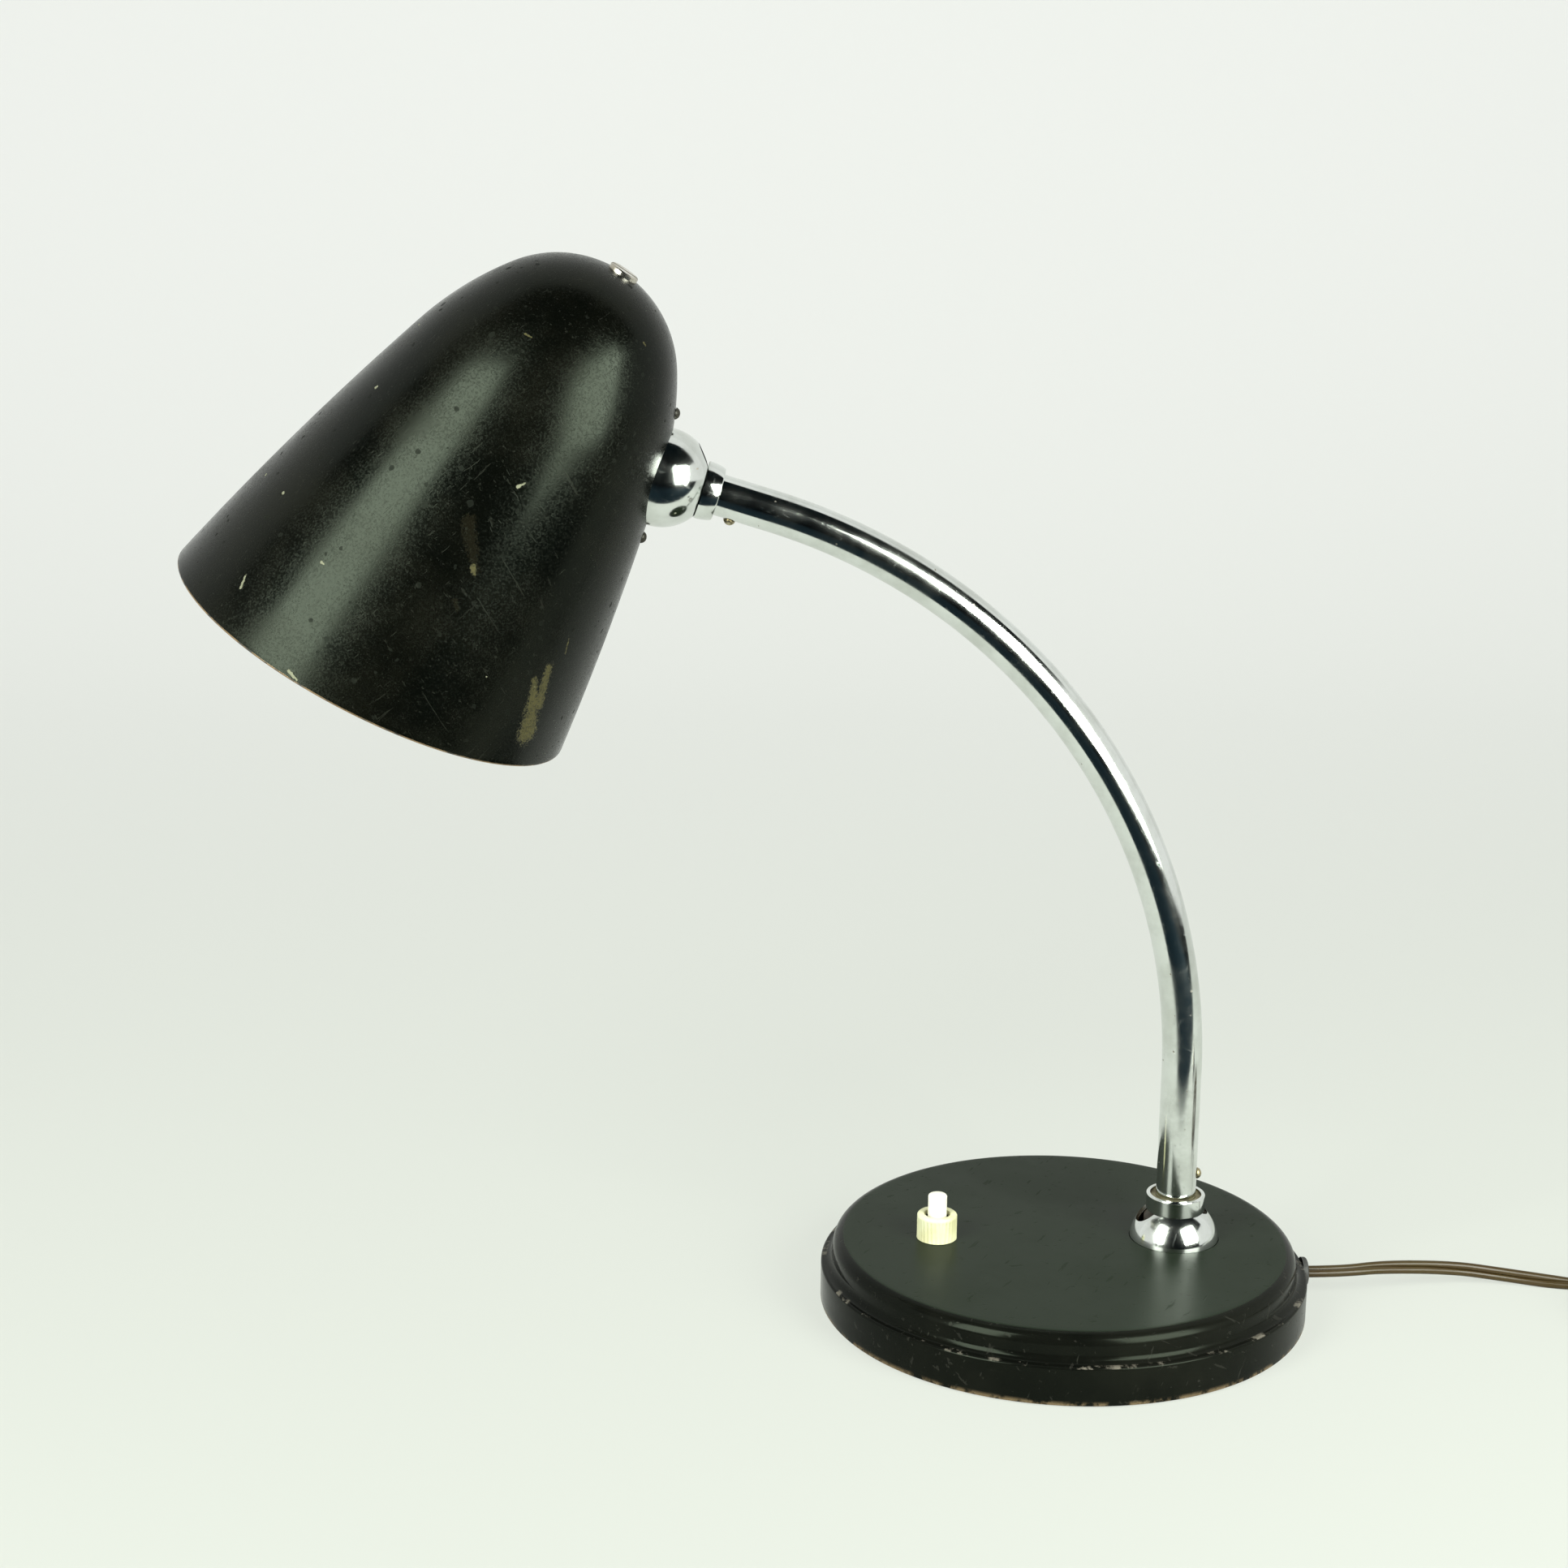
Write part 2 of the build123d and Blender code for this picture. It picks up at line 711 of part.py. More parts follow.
def seat_spacer():
    """The block that fills the curve between the wall and the dome's flat flange."""
    block = at(z=-seat_spacer_depth) * Box(
        seat_spacer_length, seat_spacer_width, seat_spacer_depth, align=bottom
    )
    block = fillet(block.edges().filter_by(Axis.Z), head_plate_corner)
    block -= rod(head_dome_radius + turning_clearance, -2 * seat_spacer_depth, 1)
    for place in head_screw_places():
        block -= place * rod(head_screw_radius + hole_clearance, -10, 10)
    return (seat_frame() * block) & shade_body(shade_wall + seat_gap)


def head_clamp_plate():
    face = -head_skirt_depth - seat_gap
    plate = Box(head_clamp_length, head_clamp_width, clamp_plate_thickness, align=top)
    plate = at(z=face) * fillet(plate.edges().filter_by(Axis.Z), head_plate_corner)
    below = -2 * head_skirt_depth
    plate -= rod(head_dome_radius - dome_wall - clamp_plate_ledge, below, 0)
    for place in head_screw_places():
        plate -= place * rod(head_screw_radius + thread_clearance, below, 0)
    return seat_frame() * plate


def head_screws():
    deepest = seat_spacer_depth + dome_flange_thickness + clamp_plate_thickness
    screws = []
    for place in head_screw_places():
        length = deepest + place.position.Z
        screw = round_head_screw(
            head_screw_head_radius, head_screw_head_height, head_screw_radius, length
        )
        screws.append(seat_frame() * place * at(z=seat_gap) * screw)
    return screws


# Lampholder, in the shade's frame


def crown_screw():
    head = rod(crown_screw_head_radius, 0, crown_screw_head_height)
    head = chamfer(head.edges().group_by(Axis.Z)[-1], 0.4)
    slot = at(z=crown_screw_head_height) * Box(3 * crown_screw_head_radius, 1.3, 0.9)
    shank = rod(crown_screw_radius, -crown_screw_length, 0)
    return at(z=-crown_flat_depth) * (head - slot + shank)


def crown_washer():
    bore = crown_screw_radius + hole_clearance
    return pipe(crown_washer_radius, bore, holder_stem_top, crown_washer_seat)


def holder_stem():
    """The threaded stud that carries the lampholder's cap."""
    low = holder_stem_top - holder_stem_length
    stud = rod(holder_stem_radius, low, holder_stem_top)
    return stud - rod(crown_screw_radius + thread_clearance, low - 1, holder_stem_top + 1)


def holder_cap():
    """The domed cap of the lampholder, with a boss where the flex enters."""
    high = holder_stem_top - 2.0
    neck = holder_stem_radius + 3.5
    shoulder = -holder_cap_depth + 4.0
    wall = holder_cap_wall
    outer = turned(outline(
        (0, high), (neck, high), (neck, high - 3), (holder_radius, shoulder),
        (holder_radius, -holder_cap_depth), (0, -holder_cap_depth),
    ))
    inner = turned(outline(
        (0, high - 5 - wall), (neck - wall, high - 5 - wall), (holder_radius - wall, shoulder - wall),
        (holder_radius - wall, -holder_cap_depth - 1), (0, -holder_cap_depth - 1),
    ))
    boss = at(0, 0, -cable_boss_depth) * Rotation(0, 90, 0)
    cap = outer + boss * rod(cable_boss_radius, 0, cable_boss_reach)
    cap -= inner
    cap -= boss * rod(lead_radius + hole_clearance, holder_stem_radius + 1, cable_boss_reach + 1)
    return cap - rod(holder_stem_radius + thread_clearance, -holder_cap_depth, 0)


def holder_body():
    """The skirt of the lampholder, round the lamp's threaded sleeve."""
    high = -holder_cap_depth - seat_gap
    body = rod(holder_radius, -holder_depth, high)
    body = chamfer(body.edges().group_by(Axis.Z)[0], 0.8)
    bore = holder_radius - holder_wall - sleeve_gap + 2 * seat_gap
    return body - rod(bore, -holder_depth - 1, high + 1)


def lamp_sleeve():
    """The plain-bored stand-in for the lamp's threaded sleeve, with its outer flange."""
    low = -holder_depth + 1.0
    outer = lamp_bore_radius + lamp_sleeve_wall
    sleeve = pipe(outer, lamp_bore_radius, low, low + lamp_sleeve_length)
    flange = pipe(holder_radius - holder_wall - sleeve_gap, lamp_bore_radius, low, low + 1.0)
    return sleeve + flange


def terminal_screw_places():
    """Two terminal screws on the insert's upper face, inside the cap."""
    return [at(0, side * terminal_screw_spacing / 2, insert_face) for side in (-1, 1)]


def holder_insert():
    """The porcelain disc that holds the lamp's contacts."""
    radius = holder_radius - holder_wall - sleeve_gap
    disc = rod(radius, insert_face - insert_thickness, insert_face)
    for place in terminal_screw_places():
        depth = terminal_screw_length + hole_clearance
        disc -= place * rod(terminal_screw_radius + thread_clearance, -depth, 1)
    return disc


def holder_contact():
    """The springy centre contact under the insert."""
    face = insert_face - insert_thickness
    foot = at(z=face) * Box(contact_length, contact_width, contact_thickness, align=top)
    tongue = Box(contact_length, contact_width - 1, contact_thickness, align=strip_start)
    bend = at(1 - contact_length / 2, 0, face - contact_thickness / 2)
    return foot + bend * Rotation(0, contact_rise, 0) * tongue


def holder_terminal_screws():
    screw = round_head_screw(
        2 * terminal_screw_radius, terminal_screw_radius, terminal_screw_radius,
        terminal_screw_length,
    )
    return [place * at(z=seat_gap) * screw for place in terminal_screw_places()]


def head_lead():
    """The flex from the dome round the lampholder's rim to its cap, in the shade's frame."""
    out = seat_frame()
    beside = holder_radius + lead_radius + lead_room
    points = [
        (out * at(z=-lead_start)).position,
        (out * at(z=-lead_turn)).position,
        Vector(beside, 0, -seat_depth + 1.5 * lead_radius),
        Vector(beside, 0, -cable_boss_depth),
        Vector(cable_boss_reach + seat_gap, 0, -cable_boss_depth),
    ]
    return bent_tube(points, lead_radius)


# Push switch


def switch_housing():
    low = plate_under - switch_body_height
    body = rod(switch_body_radius, low, plate_under)
    body -= rod(switch_cavity_radius, low - 1, plate_under - switch_roof)
    body += rod(bushing_radius, plate_under, plate_top + bushing_height)
    body -= rod(button_radius + button_clearance, low, plate_top + 2 * bushing_height)
    return at(switch_x) * body


def switch_base_top():
    return plate_under - switch_body_height - seat_gap


def switch_base():
    """The disc that closes the switch below and carries its terminals."""
    high = switch_base_top()
    disc = rod(switch_body_radius, high - switch_base_thickness, high)
    disc += rod(spring_radius - 2 * spring_wire_radius, high, high + spring_pilot_height)
    for place in terminal_places():
        disc -= place * rod(terminal_post_radius + seat_gap, 0, plate_top)
    return at(switch_x) * disc


def terminal_places():
    """The two posts under the button's contact ring, from the switch's axis."""
    side_step = wire_spacing / 2
    forward = math.sqrt(contact_ring_radius**2 - side_step**2)
    return [at(forward, side * side_step) for side in (-1, 1)]


def switch_terminals():
    """Two brass strips under the base disc, each with a post up to the contact ring."""
    face = switch_base_top() - switch_base_thickness
    contact = button_flange_top() - button_flange_thickness - contact_ring_thickness
    terminals = []
    for place in terminal_places():
        length = terminal_reach - place.position.X
        strip = Box(length, 2 * terminal_post_radius + 1, terminal_thickness, align=strip_start)
        post = rod(terminal_post_radius, face - terminal_thickness / 2, contact - button_travel - seat_gap)
        terminals.append(at(switch_x) * place * (at(z=face) * strip + post))
    return terminals


def contact_ring():
    """The brass ring under the button's flange, which joins the two posts when pressed."""
    high = button_flange_top() - button_flange_thickness
    width = contact_ring_width / 2
    ring = pipe(
        contact_ring_radius + width, contact_ring_radius - width,
        high - contact_ring_thickness, high,
    )
    return at(switch_x) * ring


def collar_nut():
    """The fluted nut on the switch's bushing, open at its top round the button."""
    nut = rod(collar_nut_radius, 0, collar_nut_height)
    nut = chamfer(nut.edges().group_by(Axis.Z)[-1], 0.5)
    nut -= rod(bushing_radius + thread_clearance, -1, collar_nut_height - collar_nut_roof)
    nut -= rod(collar_nut_opening, 0, collar_nut_height + 1)
    flute = rod(flute_radius, 0.8, collar_nut_height - 1.4)
    for place in PolarLocations(collar_nut_radius + flute_radius / 3, flute_count):
        nut -= place * flute
    return at(switch_x, 0, plate_top) * nut


def button_flange_top():
    return plate_under - switch_roof - 0.3


def switch_button():
    button_top = plate_top + collar_nut_height + button_rise
    stem_part = rod(button_radius, button_flange_top() - 1, button_top)
    stem_part = fillet(stem_part.edges().group_by(Axis.Z)[-1], 0.5)
    flange_bottom = button_flange_top() - button_flange_thickness
    flange = rod(button_flange_radius, flange_bottom, button_flange_top())
    return at(switch_x) * (stem_part + flange)


def switch_spring():
    """The return spring between the base disc and the button's flange."""
    low = switch_base_top() + spring_wire_radius + 0.05
    high = button_flange_top() - button_flange_thickness - spring_wire_radius - 0.05
    height = high - low
    coil = Helix(height / spring_turns, height, spring_radius)
    section = Plane(origin=coil @ 0, z_dir=coil % 0) * Circle(spring_wire_radius)
    return at(switch_x, 0, low) * sweep(section, path=coil, is_frenet=True)


# Wiring inside the base


def terminal_block():
    block = at(arm_x, 0, ballast_bottom) * Box(
        block_length, block_width, block_height, align=bottom
    )
    block = fillet(block.edges().filter_by(Axis.Z), 1.5)
    for place in block_screw_places():
        depth = block_screw_length + hole_clearance
        block -= place * rod(block_screw_radius + thread_clearance, -depth, 1)
    return block


def block_screw_places():
    """Four screws in the block's top face, clear of the lead that stands in its middle."""
    along = block_length / 3
    across = block_width / 3.5
    return [
        at(arm_x + side * along, row * across, block_top) for side in (-1, 1) for row in (-1, 1)
    ]


def terminal_block_screws():
    head_radius = 1.45 * block_screw_radius
    screw = round_head_screw(head_radius, 1.2, block_screw_radius, block_screw_length)
    return [place * at(z=seat_gap) * screw for place in block_screw_places()]


def base_lead():
    """The flex from the terminal block up to the lower dome."""
    return at(arm_x) * rod(lead_radius, block_top, dome_height - base_lead_end)


def switch_leads():
    """Two cores from the terminal block to the switch's tabs."""
    height = switch_base_top() - switch_base_thickness - terminal_thickness / 2
    low_x = switch_x + terminal_reach
    high_x = arm_x - block_length / 2
    core = Rotation(0, 90, 0) * rod(wire_radius, 0, high_x - low_x)
    return [at(low_x, side * wire_spacing / 2, height) * core for side in (-1, 1)]


def inner_cord():
    """The twin cord from the grommet's outer face to the terminal block."""
    low_x = arm_x + block_length / 2
    cord = Rotation(0, 90, 0) * rod(flex_width / 2, low_x, grommet_outer_face)
    return at(z=cord_exit_height) * cord


def grip_screw_places():
    return [at(grip_x, side * grip_screw_spacing / 2) for side in (-1, 1)]


def cord_grip():
    """The saddle that holds the cord down on the bottom cover."""
    block = Box(grip_length, grip_width, grip_top - ballast_bottom, align=bottom)
    block = at(grip_x, 0, ballast_bottom) * fillet(block.edges().filter_by(Axis.Z), 1.0)
    bore = Rotation(0, 90, 0) * rod(flex_width / 2 + seat_gap, 0, base_radius)
    block -= at(z=cord_exit_height) * bore
    for place in grip_screw_places():
        block -= place * rod(grip_screw_radius + thread_clearance, 0, plate_top)
    return block


def cord_grip_screws():
    """Two screws through the saddle into the bottom cover."""
    length = grip_top - ballast_bottom + cover_thickness / 2
    screw = round_head_screw(1.7 * grip_screw_radius, grip_screw_radius, grip_screw_radius, length)
    return [place * at(z=grip_top + seat_gap) * screw for place in grip_screw_places()]


def grommet():
    """The rubber ring in the wall that the cord leaves through."""
    ring = rod(grommet_radius, base_radius + seat_gap, grommet_outer_face)
    ring = fillet(ring.edges().group_by(Axis.Z)[-1], 0.9)
    ring += rod(grommet_neck_radius, grommet_inner_face, base_radius + 2 * seat_gap)
    ring -= rod(flex_width / 2 + seat_gap, 0, 2 * base_radius)
    return at(z=cord_exit_height) * Rotation(0, 90, 0) * ring


# Free cord, coil and plug


def bent_tube(points, radius, share=0.45):
    """A tube along straight runs joined by arcs as large as the runs allow."""
    points = [Vector(*point) if isinstance(point, tuple) else point for point in points]
    radii = []
    for before, corner, after in zip(points, points[1:], points[2:]):
        first = corner - before
        second = after - corner
        half_turn = math.radians(first.get_angle(second) / 2)
        radii.append(share * min(first.length, second.length) / math.tan(half_turn))
    path = FilletPolyline(*points, radius=radii)
    section = Plane(origin=points[0], z_dir=points[1] - points[0]) * Circle(radius)
    tube = sweep(section, path=path)
    print(
        "tube", "length", round(path.length, 1), "radii", [round(value, 1) for value in radii],
        "volume over section", round(tube.volume / (math.pi * radius**2 * path.length), 4),
    )
    return tube


cord_floor = flex_width / 2 + cord_lift
coil_centre = (210.0, -30.3)
cord_start_x = grommet_outer_face + seat_gap
coil_start = (coil_centre[0], coil_centre[1] + coil_outer_radius, cord_floor)
cord_points = [
    (cord_start_x, 0.0, cord_exit_height),
    (94.0, 0.0, cord_exit_height),
    (109.0, 4.0, 8.8),
    (134.0, 8.6, 6.3),
    (150.0, 9.2, 4.2),
    (172.0, 5.1, 2.6),
    (189.5, coil_start[1], cord_floor),
    (coil_start[0] - flex_width, coil_start[1], cord_floor),
]


def cord_free():
    """The cord from the grommet to the coil, which lies past the lamp's side."""
    return bent_tube(cord_points, flex_width / 2)


def coil_knot(quarter):
    """A point of the coil's spiral and its direction, at a quarter turn."""
    layer, within = divmod(quarter, coil_layer_quarters)
    layers = coil_quarters // coil_layer_quarters
    if layer == layers:
        layer = layers - 1
        within += coil_layer_quarters
    step = coil_pitch / 4
    span = coil_layer_quarters * step
    inwards = layer % 2 == 0
    radius = coil_outer_radius - (within * step if inwards else span - within * step)
    climb = 0.0
    slope = 0.0
    drift = -step if inwards else step
    if quarter in (0, coil_quarters):
        drift = 0.0
    if within == 0 and layer > 0:
        climb = -0.5
        slope = 0.5 * coil_pitch
        drift = 0.0
    height = cord_floor + (layer + climb) * coil_pitch
    angle = math.pi / 2 * (1 - quarter)
    across = Vector(math.cos(angle), math.sin(angle), 0)
    ahead = Vector(math.sin(angle), -math.cos(angle), 0)
    point = Vector(coil_centre[0], coil_centre[1], height) + across * radius
    heading = ahead * (radius * math.pi / 2) + across * drift + Vector(0, 0, slope)
    return point, heading.normalized()


def biarc(start, start_heading, end, end_heading):
    """Two arcs that join two points with given headings."""
    chord = end - start
    total = start_heading + end_heading
    gap = 2 * (1 - start_heading.dot(end_heading))
    across = chord.dot(total)
    reach = (-across + math.sqrt(across**2 + gap * chord.dot(chord))) / gap
    meeting = (start + end + (start_heading - end_heading) * reach) * 0.5
    first = TangentArc(start, meeting, tangent=start_heading)
    second = TangentArc(meeting, end, tangent=first % 1)
    return [first, second]


def coil_path():
    """The coil's line: a straight lead-in, the turns, and a straight lead-out."""
    knots = [coil_knot(quarter) for quarter in range(coil_quarters + 1)]
    first, first_heading = knots[0]
    last, last_heading = knots[-1]
    edges = [Line(first - first_heading * flex_width, first)]
    for (start, heading), (end, end_heading) in zip(knots, knots[1:]):
        edges += biarc(start, heading, end, end_heading)
    edges.append(Line(last, last + last_heading * flex_width))
    return Wire(edges)


def least_gap(path, steps_each_turn=48):
    """Least clear gap between turns of a tube along the path, measured on points."""
    count = int(steps_each_turn * coil_quarters / 4)
    points = [path @ (index / count) for index in range(count + 1)]
    skip = steps_each_turn // 3
    nearest = min(
        (points[a] - points[b]).length
        for a in range(count + 1) for b in range(a + skip, count + 1)
    )
    return nearest - flex_width


def cord_coil():
    """The stored length, wound in four layers."""
    path = coil_path()
    print("coil length", round(path.length, 1), "least gap", round(least_gap(path), 2))
    section = Plane(origin=path @ 0, z_dir=path % 0) * Circle(flex_width / 2)
    return sweep(section, path=path)


def coil_end():
    """Where the coil's lead-out ends, and its heading."""
    point, heading = coil_knot(coil_quarters)
    return point + heading * flex_width, heading


def plug_back():
    """Centre of the plug's back face on the floor beside the coil."""
    end, heading = coil_end()
    return Vector(end.X + plug_side_step, end.Y - plug_reach, plug_thickness / 2)


def cord_tail():
    """The cord from the top of the coil down to the plug."""
    end, heading = coil_end()
    back = plug_back()
    drop = end.Z - back.Z
    points = [
        end,
        end + heading * tail_straight,
        Vector(end.X + plug_side_step / 4, end.Y - plug_reach / 2, back.Z + 0.45 * drop),
        back + Vector(0, 13, 0),
        back,
    ]
    return bent_tube(points, flex_width / 2)


def plug_frame():
    """Frame of the plug: +Z out of its face, +Y up."""
    return Plane(origin=plug_back(), x_dir=(1, 0, 0), z_dir=(0, -1, 0)).location


def plug_body():
    back = RectangleRounded(plug_nose_width * 0.55, plug_thickness * 0.8, 3.0)
    middle = RectangleRounded(plug_width, plug_thickness, 4.0)
    front = RectangleRounded(plug_nose_width, plug_thickness - 1.5, 4.0)
    body = loft([back, at(z=0.55 * plug_length) * middle, at(z=plug_length) * front], ruled=True)
    for side in (-1, 1):
        body -= at(x=side * pin_spacing / 2) * rod(
            pin_radius + thread_clearance, plug_length - 6, plug_length + 1
        )
    return plug_frame() * body


def plug_pins():
    pin = rod(pin_radius, plug_length - 6, plug_length + pin_length)
    pin = fillet(pin.edges().group_by(Axis.Z)[-1], 1.2)
    return [plug_frame() * at(x=side * pin_spacing / 2) * pin for side in (-1, 1)]


# Places of the joints' pieces in the lamp
base_joint = at(arm_x, 0, dome_height)
head_joint = head_frame()
head_place = head_joint * Rotation(0, 0, head_turn) * seat_frame().inverse()


def nodes():
    """Every node's name with its solids, in the lamp's frame."""
    base_parts = {
        "base_shell": base_shell(),
        "ballast_weight": ballast(),
        "bottom_cover": bottom_cover(),
        "felt_pad": felt_pad(),
        "cover_screws": cover_screws(),
        "base_clamp_plate": base_clamp_plate(),
        "base_clamp_screws": base_clamp_screws(),
        "switch_housing": switch_housing(),
        "switch_base": switch_base(),
        "switch_terminals": switch_terminals(),
        "contact_ring": contact_ring(),
        "switch_collar_nut": collar_nut(),
        "switch_button": switch_button(),
        "switch_spring": switch_spring(),
        "terminal_block": terminal_block(),
        "terminal_block_screws": terminal_block_screws(),
        "base_lead": base_lead(),
        "switch_leads": switch_leads(),
        "inner_cord": inner_cord(),
        "cord_grip": cord_grip(),
        "cord_grip_screws": cord_grip_screws(),
        "cord_grommet": grommet(),
    }
    arm_parts = {
        "base_dome": base_joint
        * slotted_dome(base_dome_radius, base_skirt_depth, base_slot_short_angle),
        "arm_tube": arm_tube(),
        "arm_lead": arm_lead(),
        "head_dome": head_joint
        * Rotation(0, 0, head_slot_turn)
        * slotted_dome(head_dome_radius, head_skirt_depth, head_slot_short_angle),
    }
    joints = {
        "base": (base_joint, base_dome_radius, base_collar_radius, 0),
        "head": (head_joint, head_dome_radius, head_collar_radius, 180),
    }
    for name, (place, dome_radius, collar_radius, screw_turn) in joints.items():
        arm_parts[name + "_collar"] = place * collar(dome_radius, collar_radius)
        arm_parts[name + "_saddle"] = place * saddle(dome_radius)
        arm_parts[name + "_stem"] = place * stem()
        arm_parts[name + "_stem_nut"] = place * stem_nut(dome_radius)
        arm_parts[name + "_spring_washer"] = place * spring_washer(dome_radius)
        arm_parts[name + "_set_screw"] = place * Rotation(0, 0, screw_turn) * set_screw()
    shade_parts = {
        "shade": shade(),
        "seat_spacer": seat_spacer(),
        "head_clamp_plate": head_clamp_plate(),
        "head_screws": head_screws(),
        "crown_screw": crown_screw(),
        "crown_washer": crown_washer(),
        "holder_stem": holder_stem(),
        "holder_cap": holder_cap(),
        "holder_body": holder_body(),
        "lamp_sleeve": lamp_sleeve(),
        "holder_insert": holder_insert(),
        "holder_contact": holder_contact(),
        "holder_terminal_screws": holder_terminal_screws(),
        "head_lead": head_lead(),
    }
    for name, piece in shade_parts.items():
        solids = piece if isinstance(piece, list) else [piece]
        shade_parts[name] = [head_place * solid for solid in solids]
    cord_parts = {
        "cord_free": cord_free(),
        "cord_coil": cord_coil(),
        "cord_tail": cord_tail(),
        "plug_body": plug_body(),
        "plug_pins": plug_pins(),
    }
    return {**base_parts, **arm_parts, **shade_parts, **cord_parts}


def show_places():
    """Prints the joints' centres and axes, and the lamp socket's mouth, in metres."""
    centre = head_centre() / 1000
    mouth = (head_place * at(z=-holder_depth + 1.0)).position / 1000
    down = (head_place * at(z=-1)).position - (head_place * at(z=0)).position
    slot = head_joint * Rotation(0, 0, head_slot_turn)
    tilt_axis = ((slot * at(y=1)).position - (slot * at()).position)
    crown = (head_place * at()).position
    for name, value in {
        "head centre": centre, "neck": arm_direction() * -1, "lamp mouth": mouth,
        "lamp axis": down, "head tilt axis": tilt_axis, "crown": crown,
    }.items():
        print(name, [round(part, 5) for part in value])


os.makedirs("parts", exist_ok=True)
for node, piece in nodes().items():
    solids = piece if isinstance(piece, list) else [piece]
    shape = Compound(children=[solid for each in solids for solid in each.solids()])
    export_step(shape, f"parts/{node}.step")
show_places()
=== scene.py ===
import json
import math

import bmesh
import bpy
from mathutils import Matrix, Vector


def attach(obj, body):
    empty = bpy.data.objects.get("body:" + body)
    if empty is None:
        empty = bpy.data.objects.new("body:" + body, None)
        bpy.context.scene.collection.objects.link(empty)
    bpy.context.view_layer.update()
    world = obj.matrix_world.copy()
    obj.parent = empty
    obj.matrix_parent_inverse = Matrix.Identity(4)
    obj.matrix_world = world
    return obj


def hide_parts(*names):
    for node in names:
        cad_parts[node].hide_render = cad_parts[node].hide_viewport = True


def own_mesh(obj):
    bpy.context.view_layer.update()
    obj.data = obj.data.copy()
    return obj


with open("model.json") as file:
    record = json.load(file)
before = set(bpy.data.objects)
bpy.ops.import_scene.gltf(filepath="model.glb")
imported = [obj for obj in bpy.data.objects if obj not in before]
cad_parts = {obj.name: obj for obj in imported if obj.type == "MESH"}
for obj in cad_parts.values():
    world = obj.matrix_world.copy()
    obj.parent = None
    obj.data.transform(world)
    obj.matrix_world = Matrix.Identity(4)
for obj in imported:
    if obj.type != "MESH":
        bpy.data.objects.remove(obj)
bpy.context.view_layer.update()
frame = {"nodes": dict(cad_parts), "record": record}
cad = frame["nodes"]
mm = 0.001
up = Vector((0, 0, 1))
side = Vector((0, 1, 0))


def frame_at(origin, x_axis, z_axis):
    """A place from its origin, its X direction and its Z direction."""
    y_axis = z_axis.cross(x_axis)
    turn = Matrix((x_axis, y_axis, z_axis)).transposed().to_4x4()
    return Matrix.Translation(origin) @ turn


# Camera

camera_place = (-0.13166, -0.84629, 0.38389)
camera_yaw = 0.044269
camera_pitch = 0.2405177
camera_roll = 0.0115855
camera_lens = 63.354


def set_camera():
    """The camera stands in front, a little above the shade, and looks down at the lamp."""
    flat = math.cos(camera_pitch)
    east, north = math.sin(camera_yaw), math.cos(camera_yaw)
    ahead = Vector((east * flat, north * flat, -math.sin(camera_pitch)))
    level = Vector((north, -east, 0))
    right = level * math.cos(camera_roll) + level.cross(ahead) * math.sin(camera_roll)
    data = bpy.data.cameras.new("camera")
    data.sensor_width = 36
    data.lens = camera_lens
    camera = bpy.data.objects.new("camera", data)
    camera.matrix_world = frame_at(camera_place, right, -ahead)
    bpy.context.collection.objects.link(camera)
    bpy.context.scene.camera = camera


set_camera()


# Meshes

def piece_from(name, points, faces, place=None):
    """A smooth-shaded piece from points and faces; its sharp corners stay sharp."""
    mesh = bpy.data.meshes.new(name)
    mesh.from_pydata([tuple(point) for point in points], [], faces)
    mesh.update()
    piece = bpy.data.objects.new(name, mesh)
    bpy.context.collection.objects.link(piece)
    if place is not None:
        piece.matrix_world = place
    smooth(piece)
    return piece


def smooth(piece, corner=38):
    """Shades a piece smooth except where it turns by more than the corner's degrees."""
    mesh = piece.data
    mesh.shade_smooth()
    shape = bmesh.new()
    shape.from_mesh(mesh)
    bmesh.ops.recalc_face_normals(shape, faces=shape.faces)
    limit = math.radians(corner)
    for edge in shape.edges:
        edge.smooth = len(edge.link_faces) == 2 and edge.calc_face_angle(0) < limit
    shape.to_mesh(mesh)
    shape.free()


def turned(name, profile, steps=96, place=None):
    """A piece turned about Z from a closed line of radius and height pairs; 0 makes a pole."""
    points = []
    rows = []
    for radius, height in profile:
        first = len(points)
        points += [(radius * x, radius * y, height) for x, y in around(steps if radius > 0 else 1)]
        rows.append(range(first, len(points)))
    faces = []
    for low, high in zip(rows, rows[1:] + rows[:1]):
        for step in range(steps):
            after = (step + 1) % steps
            corners = [low[step % len(low)], low[after % len(low)],
                       high[after % len(high)], high[step % len(high)]]
            face = list(dict.fromkeys(corners))
            if len(face) > 2:
                faces.append(face)
    return piece_from(name, points, faces, place)


def around(steps):
    """The cosines and sines of evenly spaced angles round a circle."""
    angles = [2 * math.pi * step / steps for step in range(steps)]
    return [(math.cos(angle), math.sin(angle)) for angle in angles]


def arc_points(centre, radius, start, end, steps):
    """Points of an arc in the profile plane, from one angle in degrees to another."""
    points = []
    for step in range(steps + 1):
        angle = math.radians(start + (end - start) * step / steps)
        points.append((centre[0] + radius * math.cos(angle), centre[1] + radius * math.sin(angle)))
    return points


def circle(radius, steps):
    """Points round a circle, as a section for a bar or a tube."""
    return arc_points((0, 0), radius, 0, 360, steps)[:-1]


def direction(line, index):
    """The direction of a line of points at one of them."""
    return (line[min(index + 1, len(line) - 1)] - line[max(index - 1, 0)]).normalized()


